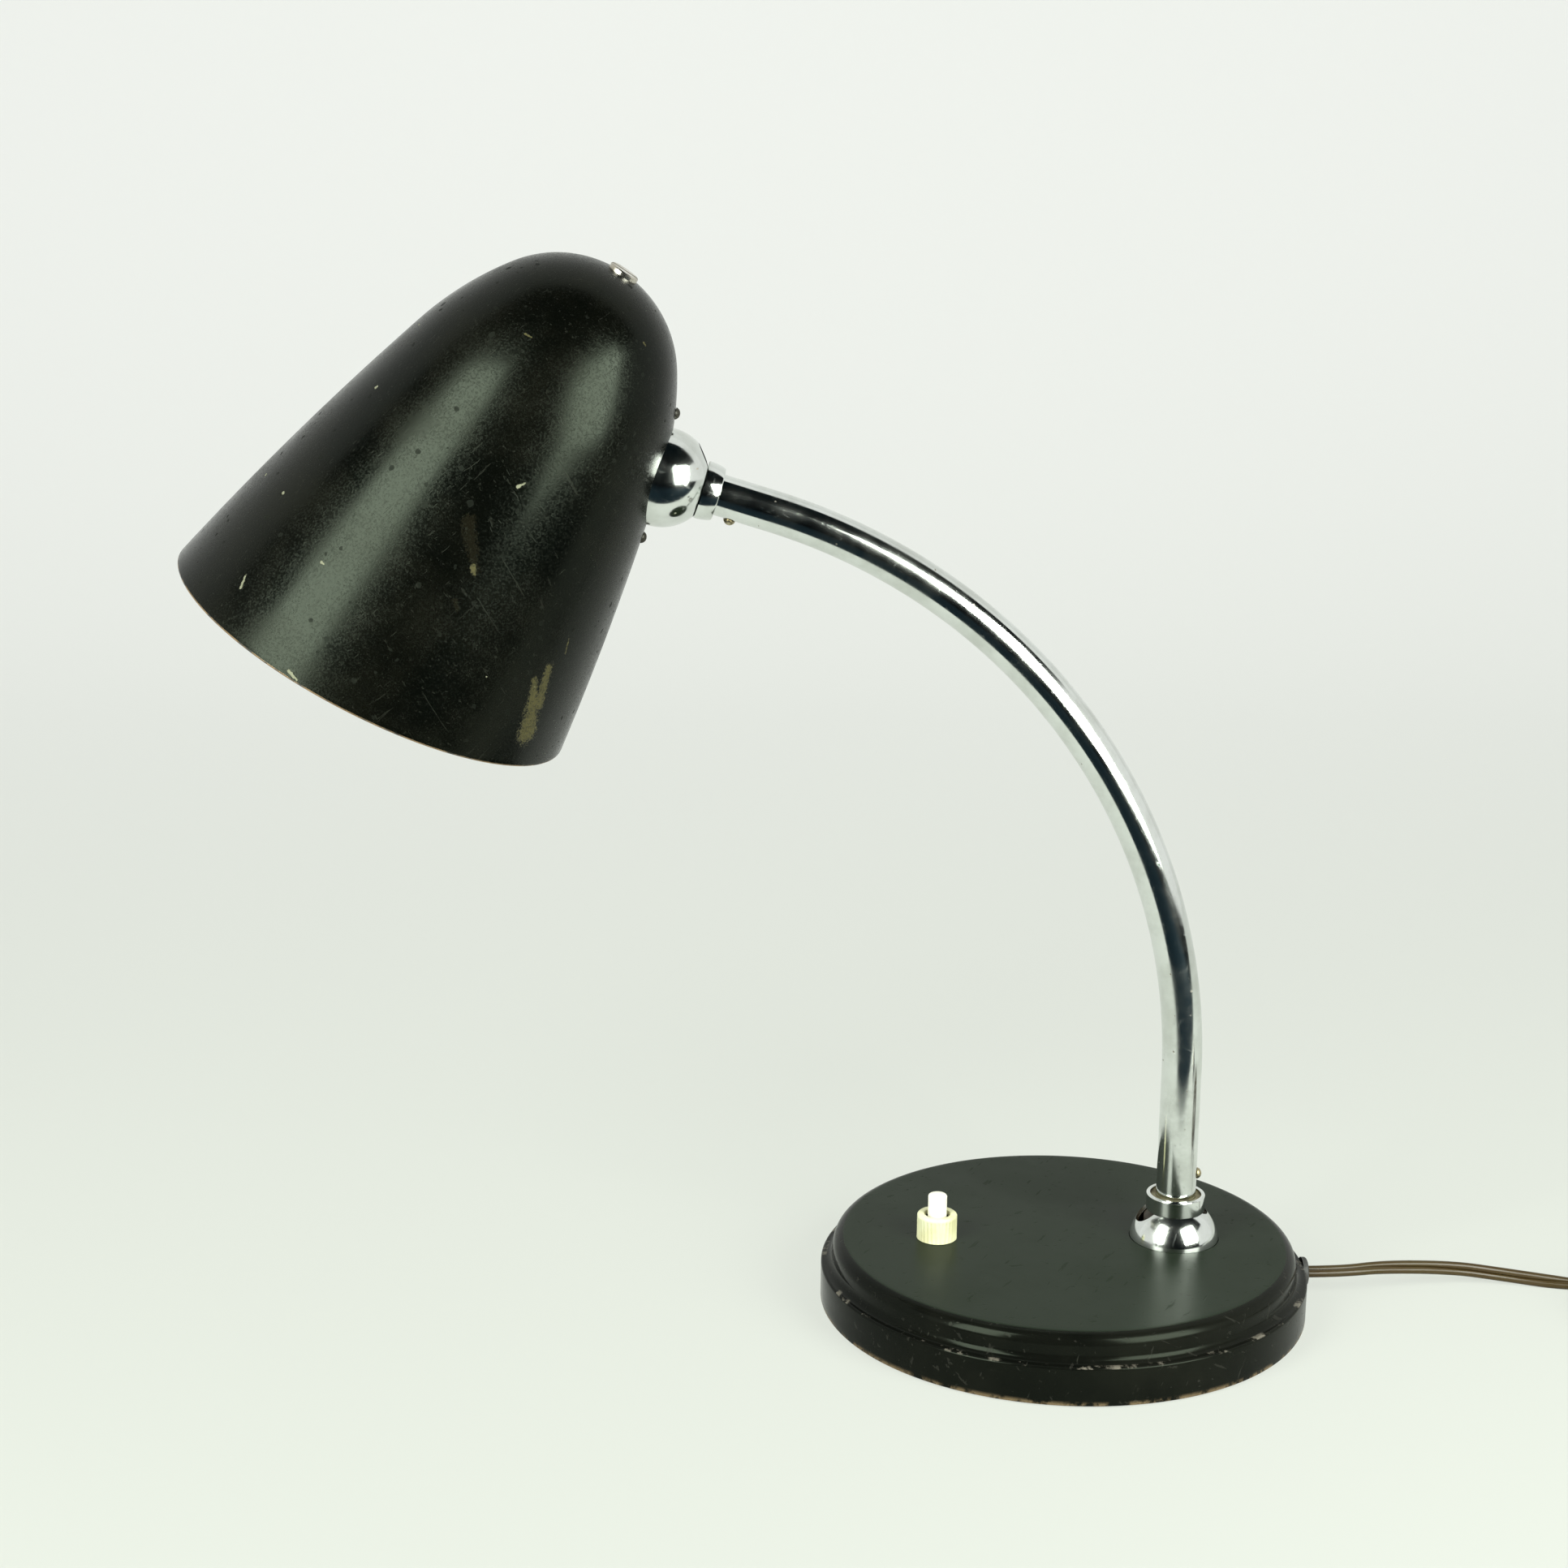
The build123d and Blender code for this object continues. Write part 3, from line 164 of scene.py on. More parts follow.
def cut(piece, *tools):
    """Cuts the tool pieces out of a piece and throws them away."""
    for tool in tools:
        step = piece.modifiers.new("cut", "BOOLEAN")
        step.operation = "DIFFERENCE"
        step.solver = "EXACT"
        step.object = tool
    bpy.context.view_layer.update()
    graph = bpy.context.evaluated_depsgraph_get()
    mesh = bpy.data.meshes.new_from_object(piece.evaluated_get(graph))
    piece.modifiers.clear()
    piece.data = mesh
    for tool in tools:
        bpy.data.objects.remove(tool, do_unlink=True)
    smooth(piece)
    return piece


def rod(radius, low, high, place=None, steps=64):
    """A plain round bar, used as a cutting tool."""
    return turned("tool", [(0, low), (radius, low), (radius, high), (0, high)], steps, place)


def bands(size, starts):
    """Faces between rings of points; each ring has a size and begins at one of the starts."""
    faces = []
    for low, high in zip(starts, starts[1:]):
        for index in range(size):
            after = (index + 1) % size
            faces.append((low + index, low + after, high + after, high + index))
    return faces


def lofted(name, rings, place=None):
    """A closed piece through rings of equal size."""
    points = [point for ring in rings for point in ring]
    size = len(rings[0])
    faces = bands(size, range(0, len(points), size))
    faces.append(tuple(range(size - 1, -1, -1)))
    faces.append(tuple(range(len(points) - size, len(points))))
    return piece_from(name, points, faces, place)


def along(line, frames, section):
    """A section's (across, upright) points set in the frame at each point of a line."""
    return [
        [centre + across * a + upright * b for a, b in section]
        for centre, (across, upright) in zip(line, frames)
    ]


# Cord

flex_width = 4.6 * mm
core_radius = 1.28 * mm
core_offset = 1.02 * mm
cord_floor = 1.32 * mm       # middle of the flat cord on the table
coil_centre = Vector((0.210, -0.0303))
coil_outer_radius = 0.0333
coil_pitch = 0.0051          # between turns, sideways
coil_layer_step = 0.00275    # between layers of the flat cord
coil_layer_quarters = 9
coil_quarters = 37
coil_steps = 4               # points in each quarter turn
plug_aside = 0.0008          # from the coil's end to the plug's back, sideways
plug_reach = 0.062
plug_middle = 0.007          # height of the plug's axis

cord_route = [
    (0.08195, 0.0, 0.009),
    (0.094, 0.0, 0.009),
    (0.109, 0.004, 0.0088),
    (0.134, 0.0086, 0.0063),
    (0.150, 0.0092, 0.0036),
    (0.172, 0.0051, 0.0016),
    (0.1895, 0.003, cord_floor),
]


def coil_point(quarter):
    """A point of the coil's spiral, by quarter turns from its outer end."""
    layers = coil_quarters // coil_layer_quarters
    layer = min(int(quarter // coil_layer_quarters), layers - 1)
    within = quarter - layer * coil_layer_quarters
    step = coil_pitch / 4
    inset = within * step if layer % 2 == 0 else (coil_layer_quarters - within) * step
    height = cord_floor
    for change in range(1, layers):
        climb = (quarter - coil_layer_quarters * change) / 2 + 0.5
        height += coil_layer_step * min(max(climb, 0), 1)
    angle = math.pi / 2 * (1 - quarter)
    # The spline runs inside its control points by this share, so they stand out as far
    spread = 1 / (0.75 + 0.25 * math.cos(math.pi / 2 / coil_steps))
    reach = (coil_outer_radius - inset) * spread
    return Vector((
        coil_centre.x + reach * math.cos(angle), coil_centre.y + reach * math.sin(angle), height
    ))


def cord_points():
    """The control points of the cord's whole line: free run, coil, and tail to the plug."""
    points = [Vector(point) for point in cord_route]
    points += [coil_point(step / coil_steps) for step in range(coil_quarters * coil_steps + 1)]
    end = points[-1]
    back = Vector((end.x + plug_aside, end.y - flex_width - plug_reach, plug_middle))
    points.append(end + Vector((0, -0.0166, 0)))
    points.append(Vector((end.x + 0.0004, end.y - 0.0356, (end.z + back.z) / 2)))
    points.append(back + Vector((0, 0.013, 0)))
    points.append(back)
    return points, back


def nurbs_line(points):
    """The points that a smooth spline with these control points passes through."""
    curve = bpy.data.curves.new("line", "CURVE")
    curve.dimensions = "3D"
    curve.resolution_u = 8
    spline = curve.splines.new("NURBS")
    spline.points.add(len(points) - 1)
    for place, point in zip(spline.points, points):
        place.co = (*point, 1)
    spline.order_u = 3
    spline.use_endpoint_u = True
    holder = bpy.data.objects.new("line", curve)
    bpy.context.collection.objects.link(holder)
    mesh = bpy.data.meshes.new_from_object(holder)
    line = [vertex.co.copy() for vertex in mesh.vertices]
    bpy.data.objects.remove(holder, do_unlink=True)
    return line


def cord_turn(gone):
    """How far the cord's width leans from level, in degrees, at a distance from the grommet."""
    marks = [(0, 18), (12, 18), (40, 50), (58, 76), (74, 76), (104, 0)]
    for (start, low), (end, high) in zip(marks, marks[1:]):
        if gone < end * mm:
            share = (gone / mm - start) / (end - start)
            ease = share * share * (3 - 2 * share)
            return low + (high - low) * ease
    return 0


def cord_frames(line):
    """Across and upright directions at each point of the cord's line."""
    frames = []
    gone = 0
    for index, point in enumerate(line):
        ahead = direction(line, index)
        across = up.cross(ahead).normalized()
        upright = ahead.cross(across)
        turn = math.radians(cord_turn(gone))
        frames.append((
            across * math.cos(turn) + upright * math.sin(turn),
            upright * math.cos(turn) - across * math.sin(turn),
        ))
        if index + 1 < len(line):
            gone += (line[index + 1] - point).length
    return frames


def twin_section(steps=18):
    """Outline of two round cores side by side, joined by a thin web."""
    web = 0.45 * mm
    web_angle = 14
    start = math.degrees(math.acos(core_offset / core_radius)) + web_angle
    arc = arc_points((0, 0), core_radius, start - 180, 180 - start, steps)
    right = [(core_offset + x, y) for x, y in arc]
    left = [(-x, -y) for x, y in right]
    return right + [(0, web)] + left + [(0, -web)]


control_points, plug_back = cord_points()
cord_line = nurbs_line(control_points)


# Plug

plug_place = Matrix.Translation(plug_back) @ Matrix((
    (1, 0, 0, 0), (0, 0, -1, 0), (0, 1, 0, 0), (0, 0, 0, 1)
))


def rounded_box_ring(width, depth, corner, height):
    """A ring of points round a rounded rectangle."""
    ring = []
    for quarter, (x, y) in enumerate([(1, 1), (-1, 1), (-1, -1), (1, -1)]):
        centre = (x * (width / 2 - corner), y * (depth / 2 - corner))
        ring += arc_points(centre, corner, 90 * quarter, 90 * quarter + 90, 6)
    return [(x, y, height) for x, y in ring]


def plug():
    """The flat two-pin plug, widening from the cord, with ribs across its grip."""
    shape = [  # height, width, depth, corner's radius
        (0.0, 13.0, 9.8, 3.0), (0.6, 14.2, 11.2, 3.4), (4.0, 18.4, 12.2, 4.0),
        (9.0, 23.0, 13.0, 4.2), (15.0, 29.0, 13.8, 4.4), (20.0, 31.8, 14.0, 4.6),
    ]
    for rib in range(5):
        start = 21.0 + rib * 2.2
        shape += [
            (start, 31.8 - rib * 0.9, 13.9, 4.6), (start + 0.5, 30.6 - rib * 0.9, 13.0, 4.4),
            (start + 1.3, 30.6 - rib * 0.9, 13.0, 4.4), (start + 1.8, 31.4 - rib * 0.9, 13.8, 4.6),
        ]
    shape += [(33.0, 25.6, 13.0, 4.4), (35.2, 25.0, 12.6, 4.2), (36.0, 23.6, 11.2, 3.6)]
    rings = [
        rounded_box_ring(width * mm, depth * mm, corner * mm, height * mm)
        for height, width, depth, corner in shape
    ]
    return lofted("plug_moulding", rings, plug_place)


# Base shell

base_radius = 80.0 * mm
plate_top = 22.1 * mm
flat_radius = 71.9 * mm
nose_radius = 4.2 * mm
cove_radius = 2.8 * mm
shoulder_height = 13.1 * mm
rim_lift = 0.35 * mm         # the rim's height over the table
base_wall = 1.6 * mm
arm_x = 36.8 * mm
switch_x = -42.0 * mm
dome_height = 20.6 * mm
base_dome_radius = 14.7 * mm
head_dome_radius = 15.4 * mm
dome_clearance = 0.08 * mm
switch_hole_radius = 5.05 * mm
cord_hole_radius = 3.25 * mm
cord_hole_height = 9.0 * mm


def base_profile():
    """The spun shell's section: flat top, nose, cove, shoulder, band and rolled rim."""
    nose = (flat_radius, plate_top - nose_radius)
    cove = (flat_radius + nose_radius + cove_radius, shoulder_height + cove_radius)
    band = 0.8 * mm
    rim = 0.7 * mm
    line = [(share * flat_radius, plate_top) for share in (0, 0.3, 0.6, 0.9, 0.97)]
    line += arc_points(nose, nose_radius, 90, 0, 14)
    line += arc_points(cove, cove_radius, 180, 270, 10)
    line += arc_points((base_radius - band, shoulder_height - band), band, 90, 0, 7)
    line += [(base_radius, 8.0 * mm), (base_radius, 4.0 * mm)]
    line += arc_points((base_radius - rim, rim_lift + rim), rim, 0, -90, 5)
    inner = base_radius - base_wall
    line += [(inner, rim_lift), (inner, shoulder_height - base_wall)]
    line += [(flat_radius + nose_radius - base_wall, shoulder_height - base_wall)]
    line += arc_points(nose, nose_radius - base_wall, 0, 90, 8)
    line += [(0, plate_top - base_wall)]
    return line


def base_shell():
    """The spun shell with its holes for the dome, the switch and the cord."""
    lying = Matrix.Translation((0, 0, cord_hole_height)) @ Matrix.Rotation(math.pi / 2, 4, "Y")
    return cut(
        turned("spun_base", base_profile(), 256),
        rod(base_dome_radius + dome_clearance, 0, 0.03, Matrix.Translation((arm_x, 0, 0)), 128),
        rod(switch_hole_radius, 0, 0.03, Matrix.Translation((switch_x, 0, 0))),
        rod(cord_hole_radius, 0.07, 0.09, lying, 48),
    )


# Shade's outline

crown_radius = 35.9 * mm
crown_turn = 55.4            # how far the crown's arc goes round, in degrees
seat_radius = 43.6 * mm
seat_depth = 45.4 * mm
seat_extra_lean = math.radians(0.48)
lip_radius = 67.9 * mm
lip_depth = 152.3 * mm
mouth_depth = 141.5 * mm
mouth_slant = math.radians(5.0)
shade_wall = 1.0 * mm
crown_hole = 2.5 * mm
washer_recess = 4.85 * mm    # the flat under the crown's washer
washer_sink = 0.33 * mm
head_screw_hole = 2.1 * mm
head_screw_sink = 0.25 * mm
head_screw_reach = 20 * mm   # from the seat's middle to each of its screws
crown_steps = 24
shoulder_steps = 28


def leaving_arc(start, heading, end, steps):
    """Points and headings of the arc that leaves a point along a heading and meets another."""
    chord = end - start
    swing = 2 * heading.angle_signed(chord)
    found = []
    for step in range(steps + 1):
        share = step / steps
        turn = swing * share
        reach = chord.length * (math.sin(turn / 2) / math.sin(swing / 2))
        ahead = heading.copy()
        ahead.rotate(Matrix.Rotation(-turn / 2, 2))
        here = start + ahead * reach
        ahead.rotate(Matrix.Rotation(-turn / 2, 2))
        found.append((here, ahead))
    return found


def shade_profile():
    """Points and headings down the wall's outer line, from the crown to past the mouth."""
    turn = math.radians(crown_turn)
    line = []
    for step in range(crown_steps + 1):
        angle = turn * step / crown_steps
        here = Vector((crown_radius * math.sin(angle), -crown_radius * (1 - math.cos(angle))))
        line.append((here, Vector((math.cos(angle), -math.sin(angle)))))
    seat = Vector((seat_radius, -seat_depth))
    line += leaving_arc(line[-1][0], line[-1][1], seat, shoulder_steps)[1:]
    line += leaving_arc(line[-1][0], line[-1][1], Vector((lip_radius, -lip_depth)), 60)[1:]
    return line


def edge_height(x):
    """Height of the slanted plane where the wall ends and its rolled edge begins."""
    return -mouth_depth + x * math.tan(mouth_slant) + shade_wall / 2


# Joints' frames

bend_start = 80.0 * mm
bend_radius = 191.0 * mm
bend_turn = math.radians(73.0)
head_straight = 36.0 * mm
arm_ahead = Vector((-math.sin(bend_turn), 0, math.cos(bend_turn)))
tube_radius = 6.5 * mm
tube_bore = 5.2 * mm
tube_sink = 5.0 * mm         # from the tube's middle to where it would meet the dome
tube_lift = 1.1 * mm         # kept clear under the tube's end
dome_gap = 0.3 * mm          # between a dome and its collar
dome_tuck = 1.25 * mm        # from the plate's inner face down to the base dome's foot


def bend_point(turn):
    """The point of the arm's bend at a turn from its start."""
    out = bend_radius * (1 - math.cos(turn))
    return Vector((arm_x - out, 0, bend_start + bend_radius * math.sin(turn)))


bend_end = bend_point(bend_turn)
head_centre = bend_end + arm_ahead * head_straight
wall_up = Vector((arm_ahead.z, 0, -arm_ahead.x))
base_joint = Matrix.Translation((arm_x, 0, dome_height))
head_joint = frame_at(head_centre, wall_up, -arm_ahead)
head_turn = Matrix.Rotation(math.radians(4.9), 4, "Z")
head_slot_turn = Matrix.Rotation(math.pi, 4, "Z")
base_skirt = dome_height - (plate_top - base_wall) + dome_tuck
head_skirt = 7.2 * mm
seat_heading = shade_profile()[crown_steps + shoulder_steps][1]
wall_lean = math.atan2(seat_heading.x, -seat_heading.y) + seat_extra_lean
seat_place = frame_at(
    Vector((seat_radius, 0, -seat_depth)),
    Vector((-math.sin(wall_lean), 0, math.cos(wall_lean))),
    Vector((math.cos(wall_lean), 0, math.sin(wall_lean))),
)
shade_place = head_joint @ head_turn @ seat_place.inverted()


# Arm

def tube_reach(dome_radius):
    """Distance of the tube's end from its dome's centre."""
    return math.sqrt((dome_radius + dome_gap) ** 2 - tube_sink**2) + tube_lift


def arm_line():
    """The tube's middle line: upright, bend, and the run to the upper dome."""
    low = dome_height + tube_reach(base_dome_radius)
    line = [Vector((arm_x, 0, low + (bend_start - low) * step / 8)) for step in range(8)]
    line += [bend_point(bend_turn * step / 120) for step in range(121)]
    end = head_straight - tube_reach(head_dome_radius)
    line += [bend_end + arm_ahead * end * step / 4 for step in range(1, 5)]
    return line


def arm_tube():
    """The chromed tube, with its bore."""
    line = arm_line()
    frames = [(side, direction(line, index).cross(side)) for index in range(len(line))]
    rings = along(line, frames, circle(tube_radius, 64))
    rings += along(line, frames, circle(tube_bore, 64))
    size = len(rings[0])
    starts = range(0, len(rings) * size, size)
    outer, inner = starts[:len(line)], starts[len(line):]
    faces = bands(size, outer) + bands(size, inner)
    for end in (0, -1):
        faces += bands(size, (outer[end], inner[end]))
    return piece_from("bent_tube", [point for ring in rings for point in ring], faces)


# Slotted domes and collars

dome_wall = 1.2 * mm
dome_flange = 3.0 * mm       # the flange's reach past the dome
slot_width = 10.6 * mm
long_end = 60                # from the dome's axis to a slot's long end, in degrees
base_short_end = 47
head_short_end = 34
stem_hole = 5.05 * mm        # through a collar
tube_seat = 6.6 * mm         # the collar's recess round the tube
collar_height = 5.4 * mm
base_collar_radius = 9.6 * mm
head_collar_radius = 9.1 * mm
head_barrel = 0.75 * mm      # how far the upper collar narrows towards its lip


def slot_tool(radius, short_end):
    """The cutter of a dome's slot: a round bar swung about the dome's centre."""
    half = slot_width / 2
    tilt = math.degrees(math.asin(half / radius))
    steps = 24
    end_steps = 16
    inside = 0.35 * radius
    outside = 1.3 * radius
    spots = []
    points = []
    for step in range(steps + 1):
        angle = math.radians(-(long_end - tilt) + (long_end + short_end - 2 * tilt) * step / steps)
        out = Vector((math.sin(angle), 0, math.cos(angle)))
        across = Vector((math.cos(angle), 0, -math.sin(angle)))
        for level in (inside, outside):
            spots.append((out * level, across))
            points += [out * level + Vector((0, -half, 0)), out * level + Vector((0, half, 0))]
    faces = []
    for first in range(0, 4 * steps, 4):
        for corners in ((0, 4, 6, 2), (1, 3, 7, 5), (0, 1, 5, 4), (2, 6, 7, 3)):
            faces.append(tuple(first + corner for corner in corners))
    for step, sign in ((0, -1), (steps, 1)):
        rounds = []
        for spot in (2 * step, 2 * step + 1):
            centre, across = spots[spot]
            rounds.append([2 * spot])
            for part in range(1, end_steps):
                turn = math.pi * part / end_steps
                rounds[-1].append(len(points))
                bulge = across * (sign * half * math.sin(turn))
                points.append(centre + bulge + Vector((0, -half * math.cos(turn), 0)))
            rounds[-1].append(2 * spot + 1)
        low, high = rounds
        for index in range(end_steps):
            faces.append((low[index], low[index + 1], high[index + 1], high[index]))
        faces += [tuple(low), tuple(high)]
    return piece_from("tool", points, faces)


def slotted_dome(name, radius, skirt, short_end, place):
    """A polished dome on its skirt and flange, slotted for the arm's stem."""
    inner = radius - dome_wall
    flange = radius + dome_flange
    line = [(0, radius)] + arc_points((0, 0), radius, 89, 0, 44)
    line += [(radius, -0.5 * skirt), (radius, -skirt + dome_wall), (flange, -skirt + dome_wall)]
    line += [(flange, -skirt), (inner, -skirt), (inner, -0.5 * skirt)]
    line += arc_points((0, 0), inner, 0, 89, 44) + [(0, inner)]
    dome = cut(turned(name, line, 128), slot_tool(radius, short_end))
    dome.matrix_world = place
    polish(dome, radius)
    places = [vertex.co.length for vertex in dome.data.vertices]
    # Faces inside the dome take the second finish, painted dark as shade
    for face in dome.data.polygons:
        if max(places[index] for index in face.vertices) < radius - 0.5 * dome_wall:
            face.material_index = 1
    return dome


def polish(dome, radius):
    """Gives the dome's outer face the normals of a true sphere."""
    mesh = dome.data
    corner = [Vector(item.vector) for item in mesh.corner_normals]
    for face in mesh.polygons:
        places = [mesh.vertices[index].co for index in face.vertices]
        if all(abs(place.length - radius) < 0.02 * mm and place.z > -0.01 * mm for place in places):
            for loop, place in zip(face.loop_indices, places):
                corner[loop] = place.normalized()
    mesh.normals_split_custom_set([tuple(item) for item in corner])


def collar(name, dome_radius, radius, barrel, place):
    """The ring that slides over the dome, narrowing by its barrel to a lip round the tube."""
    slide = dome_radius + dome_gap
    low = math.sqrt(slide**2 - radius**2)
    face = low + collar_height
    recess = face - 0.8 * mm
    floor = tube_reach(dome_radius)
    end = math.degrees(math.acos(stem_hole / slide))
    edge = radius - barrel
    recess_radius = edge - 1.3 * mm
    seen_depth = 2.0 * mm
    lip = 0.5 * mm
    inner_lip = 0.3 * mm
    side_low = low + 0.25 * mm
    side_steps = 24
    line = arc_points((0, 0), slide, math.degrees(math.atan2(low, radius)), end, 12)
    line += [(stem_hole, floor), (tube_seat, floor), (tube_seat, recess), (recess_radius, recess)]
    line += arc_points((recess_radius + inner_lip, face - inner_lip), inner_lip, 180, 90, 4)
    lean = math.atan(2 * barrel / (face - lip - side_low))
    line += arc_points((edge - lip, face - lip), lip, 90, math.degrees(lean), 6)
    start, height = line[-1]
    for step in range(1, side_steps + 1):
        share = step / side_steps
        widening = (radius - start) * (1 - (1 - share) ** 2)
        line.append((start + widening, height + (side_low - height) * share))
    ring = turned(name, line, 128, place)
    for face_of_ring in ring.data.polygons:
        middle = face_of_ring.center
        within = math.hypot(middle.x, middle.y) < recess_radius + 0.05 * mm
        if within and middle.z > face - seen_depth:
            face_of_ring.material_index = 1
    return ring


# Shade

def shade():
    """The spun shade: black outside, pale inside, with a thin rolled edge."""
    profile = shade_profile()
    steps = 288
    columns = []
    for x, y in around(steps):
        across = Vector((x, y, 0))
        column = shade_column(profile, across.x)
        columns.append([across * flat.x + up * flat.y for flat in column])
    size = len(columns[0])
    points = [point for column in columns for point in column]
    top = len(points)
    points += [Vector((0, 0, 0)), Vector((0, 0, -shade_wall))]
    faces = []
    for step in range(steps):
        here = step * size
        after = (step + 1) % steps * size
        faces.append((top, here, after))
        for index in range(size - 1):
            faces.append((here + index, here + index + 1, after + index + 1, after + index))
        faces.append((top + 1, after + size - 1, here + size - 1))
    shell = piece_from("spun_shade", points, faces)
    cut(
        shell,
        rod(head_dome_radius + dome_clearance, -0.012, 0.02, seat_place, 128),
        turned("tool", [
            (0, -0.01), (crown_hole, -0.01), (crown_hole, -washer_sink),
            (washer_recess, -washer_sink), (washer_recess, 0.005), (0, 0.005),
        ]),
        *[rod(head_screw_hole, 0, 0.003, place) for place in head_screw_spots()],
    )
    split_shade_faces(shell)
    shell.matrix_world = shade_place
    return shell


def shade_column(profile, x_share):
    """One upright line of the shade's wall: down the outside, round the edge, up the inside."""
    ends = next(
        index for index, (here, _) in enumerate(profile) if here.y < edge_height(here.x * x_share)
    )
    before, (after, heading) = profile[ends - 1][0], profile[ends]
    gap_before = before.y - edge_height(before.x * x_share)
    gap_after = edge_height(after.x * x_share) - after.y
    lip = before.lerp(after, gap_before / (gap_before + gap_after))
    outer = resample(profile[:ends] + [(lip, heading)], 118)[1:]
    inside = Vector((heading.y, -heading.x)) * shade_wall
    column = [here for here, _ in outer]
    rim_steps = 6
    for part in range(1, rim_steps):
        swing = math.pi * part / rim_steps
        inwards = inside / 2 * (1 - math.cos(swing))
        column.append(lip + inwards + heading * (shade_wall / 2 * math.sin(swing)))
    for here, ahead in reversed(outer):
        column.append(here + Vector((ahead.y, -ahead.x)) * shade_wall)
    return column


def head_screw_spots():
    """The places of the two screws over and under the dome, sunk a little into the wall."""
    into_seat = seat_place.inverted()
    wall = [into_seat @ Vector((here.x, 0, here.y)) for here, _ in resample(shade_profile(), 900)]
    spots = []
    for offset in (head_screw_reach, -head_screw_reach):
        here = min(wall, key=lambda point: abs(point.x - offset) if point.z > -0.01 else 1)
        spots.append(seat_place @ Matrix.Translation((here.x, 0, here.z - head_screw_sink)))
    return spots


def split_shade_faces(shell):
    """Marks the shade's faces: 0 outside, 1 inside, 2 on the rolled edge."""
    for face in shell.data.polygons:
        middle = face.center
        away = Vector((middle.x, middle.y, 0)).normalized()
        if middle.z < edge_height(middle.x):
            face.material_index = 2
        elif face.normal.dot(away) + face.normal.z < 0:
            face.material_index = 1


def resample(line, count):
    """The same line with evenly spaced points."""
    lengths = [0]
    for (a, _), (b, _) in zip(line, line[1:]):
        lengths.append(lengths[-1] + (b - a).length)
    found = []
    spot = 0
    for step in range(count + 1):
        target = lengths[-1] * step / count
        while spot < len(lengths) - 2 and lengths[spot + 1] < target:
            spot += 1
        share = (target - lengths[spot]) / (lengths[spot + 1] - lengths[spot])
        here = line[spot][0].lerp(line[spot + 1][0], share)
        ahead = line[spot][1].lerp(line[spot + 1][1], share).normalized()
        found.append((here, ahead))
    return found


# Switch's collar nut, button and spring

spring_foot = 7.0 * mm
spring_length = 8.2 * mm
spring_radius = 3.2 * mm
spring_wire = 0.35 * mm


def collar_nut():
    """The ivory nut round the button, with fine upright ribs."""
    ribs = 30
    steps = ribs * 8
    section = [  # height, radius, depth of the ribs
        (0.0, 6.45, 0), (0.15, 6.6, 0), (0.7, 6.6, 0.1), (0.95, 6.6, 0.22), (7.0, 6.6, 0.22),
        (7.25, 6.6, 0.1), (7.9, 6.58, 0), (8.25, 6.45, 0), (8.5, 6.2, 0), (8.6, 5.9, 0),
        (8.6, 4.6, 0), (8.5, 4.35, 0), (8.2, 4.2, 0), (7.0, 4.2, 0), (7.0, 5.1, 0), (0.0, 5.1, 0),
    ]
    points = []
    for height, radius, depth in section:
        for step in range(steps):
            angle = 2 * math.pi * step / steps
            reach = (radius - depth * (1 - math.cos(angle * ribs)) / 2) * mm
            points.append((reach * math.cos(angle), reach * math.sin(angle), height * mm))
    faces = bands(steps, [*range(0, len(points), steps), 0])
    return piece_from("ribbed_nut", points, faces, Matrix.Translation((switch_x, 0, plate_top)))


def button():
    """The push button with its flange inside the switch."""
    radius = 3.1
    flange = 6.5
    flange_low = 15.2
    flange_top = 17.2
    top = 37.4
    edge = 0.8
    edge_low = top - 0.9
    line = [(0, flange_low), (flange, flange_low), (flange, flange_top), (radius, flange_top)]
    line += [(radius, edge_low - 0.1)] + arc_points((radius - edge, edge_low), edge, 0, 72, 6)
    line = [(across * mm, height * mm) for across, height in line + [(0, top)]]
    return turned("push_button", line, 64, Matrix.Translation((switch_x, 0, 0)))


def return_spring():
    """The switch's return spring: five turns of wire under the button's flange."""
    turns = 5
    steps = 32
    low = spring_foot + 0.4 * mm
    climb = spring_length - 0.8 * mm
    line = []
    frames = []
    for step in range(turns * steps + 1):
        angle = 2 * math.pi * step / steps
        across = Vector((math.cos(angle), math.sin(angle), 0))
        height = low + climb * step / (turns * steps)
        line.append(Vector((switch_x, 0, height)) + across * spring_radius)
        frames.append((across, up))
    return lofted("return_spring", along(line, frames, circle(spring_wire, 12)))


# Finishes

gloss_tint = (0.86, 1.0, 0.80)


class Wire:
    """A node's output. Arithmetic on it adds maths nodes; a | b is the larger of the two."""

    def __init__(self, look, socket):
        self.look = look
        self.socket = socket

    def __add__(self, other):
        return self.look.maths("ADD", self, other)

    def __sub__(self, other):
        return self.look.maths("SUBTRACT", self, other)

    def __rsub__(self, other):
        return self.look.maths("SUBTRACT", other, self)

    def __mul__(self, other):
        return self.look.maths("MULTIPLY", self, other)

    def __truediv__(self, other):
        return self.look.maths("DIVIDE", self, other)

    def __or__(self, other):
        return self.look.maths("MAXIMUM", self, other)

    def capped_sum(self, other):
        """The sum, kept between 0 and 1."""
        return self.look.maths("ADD", self, other, True)


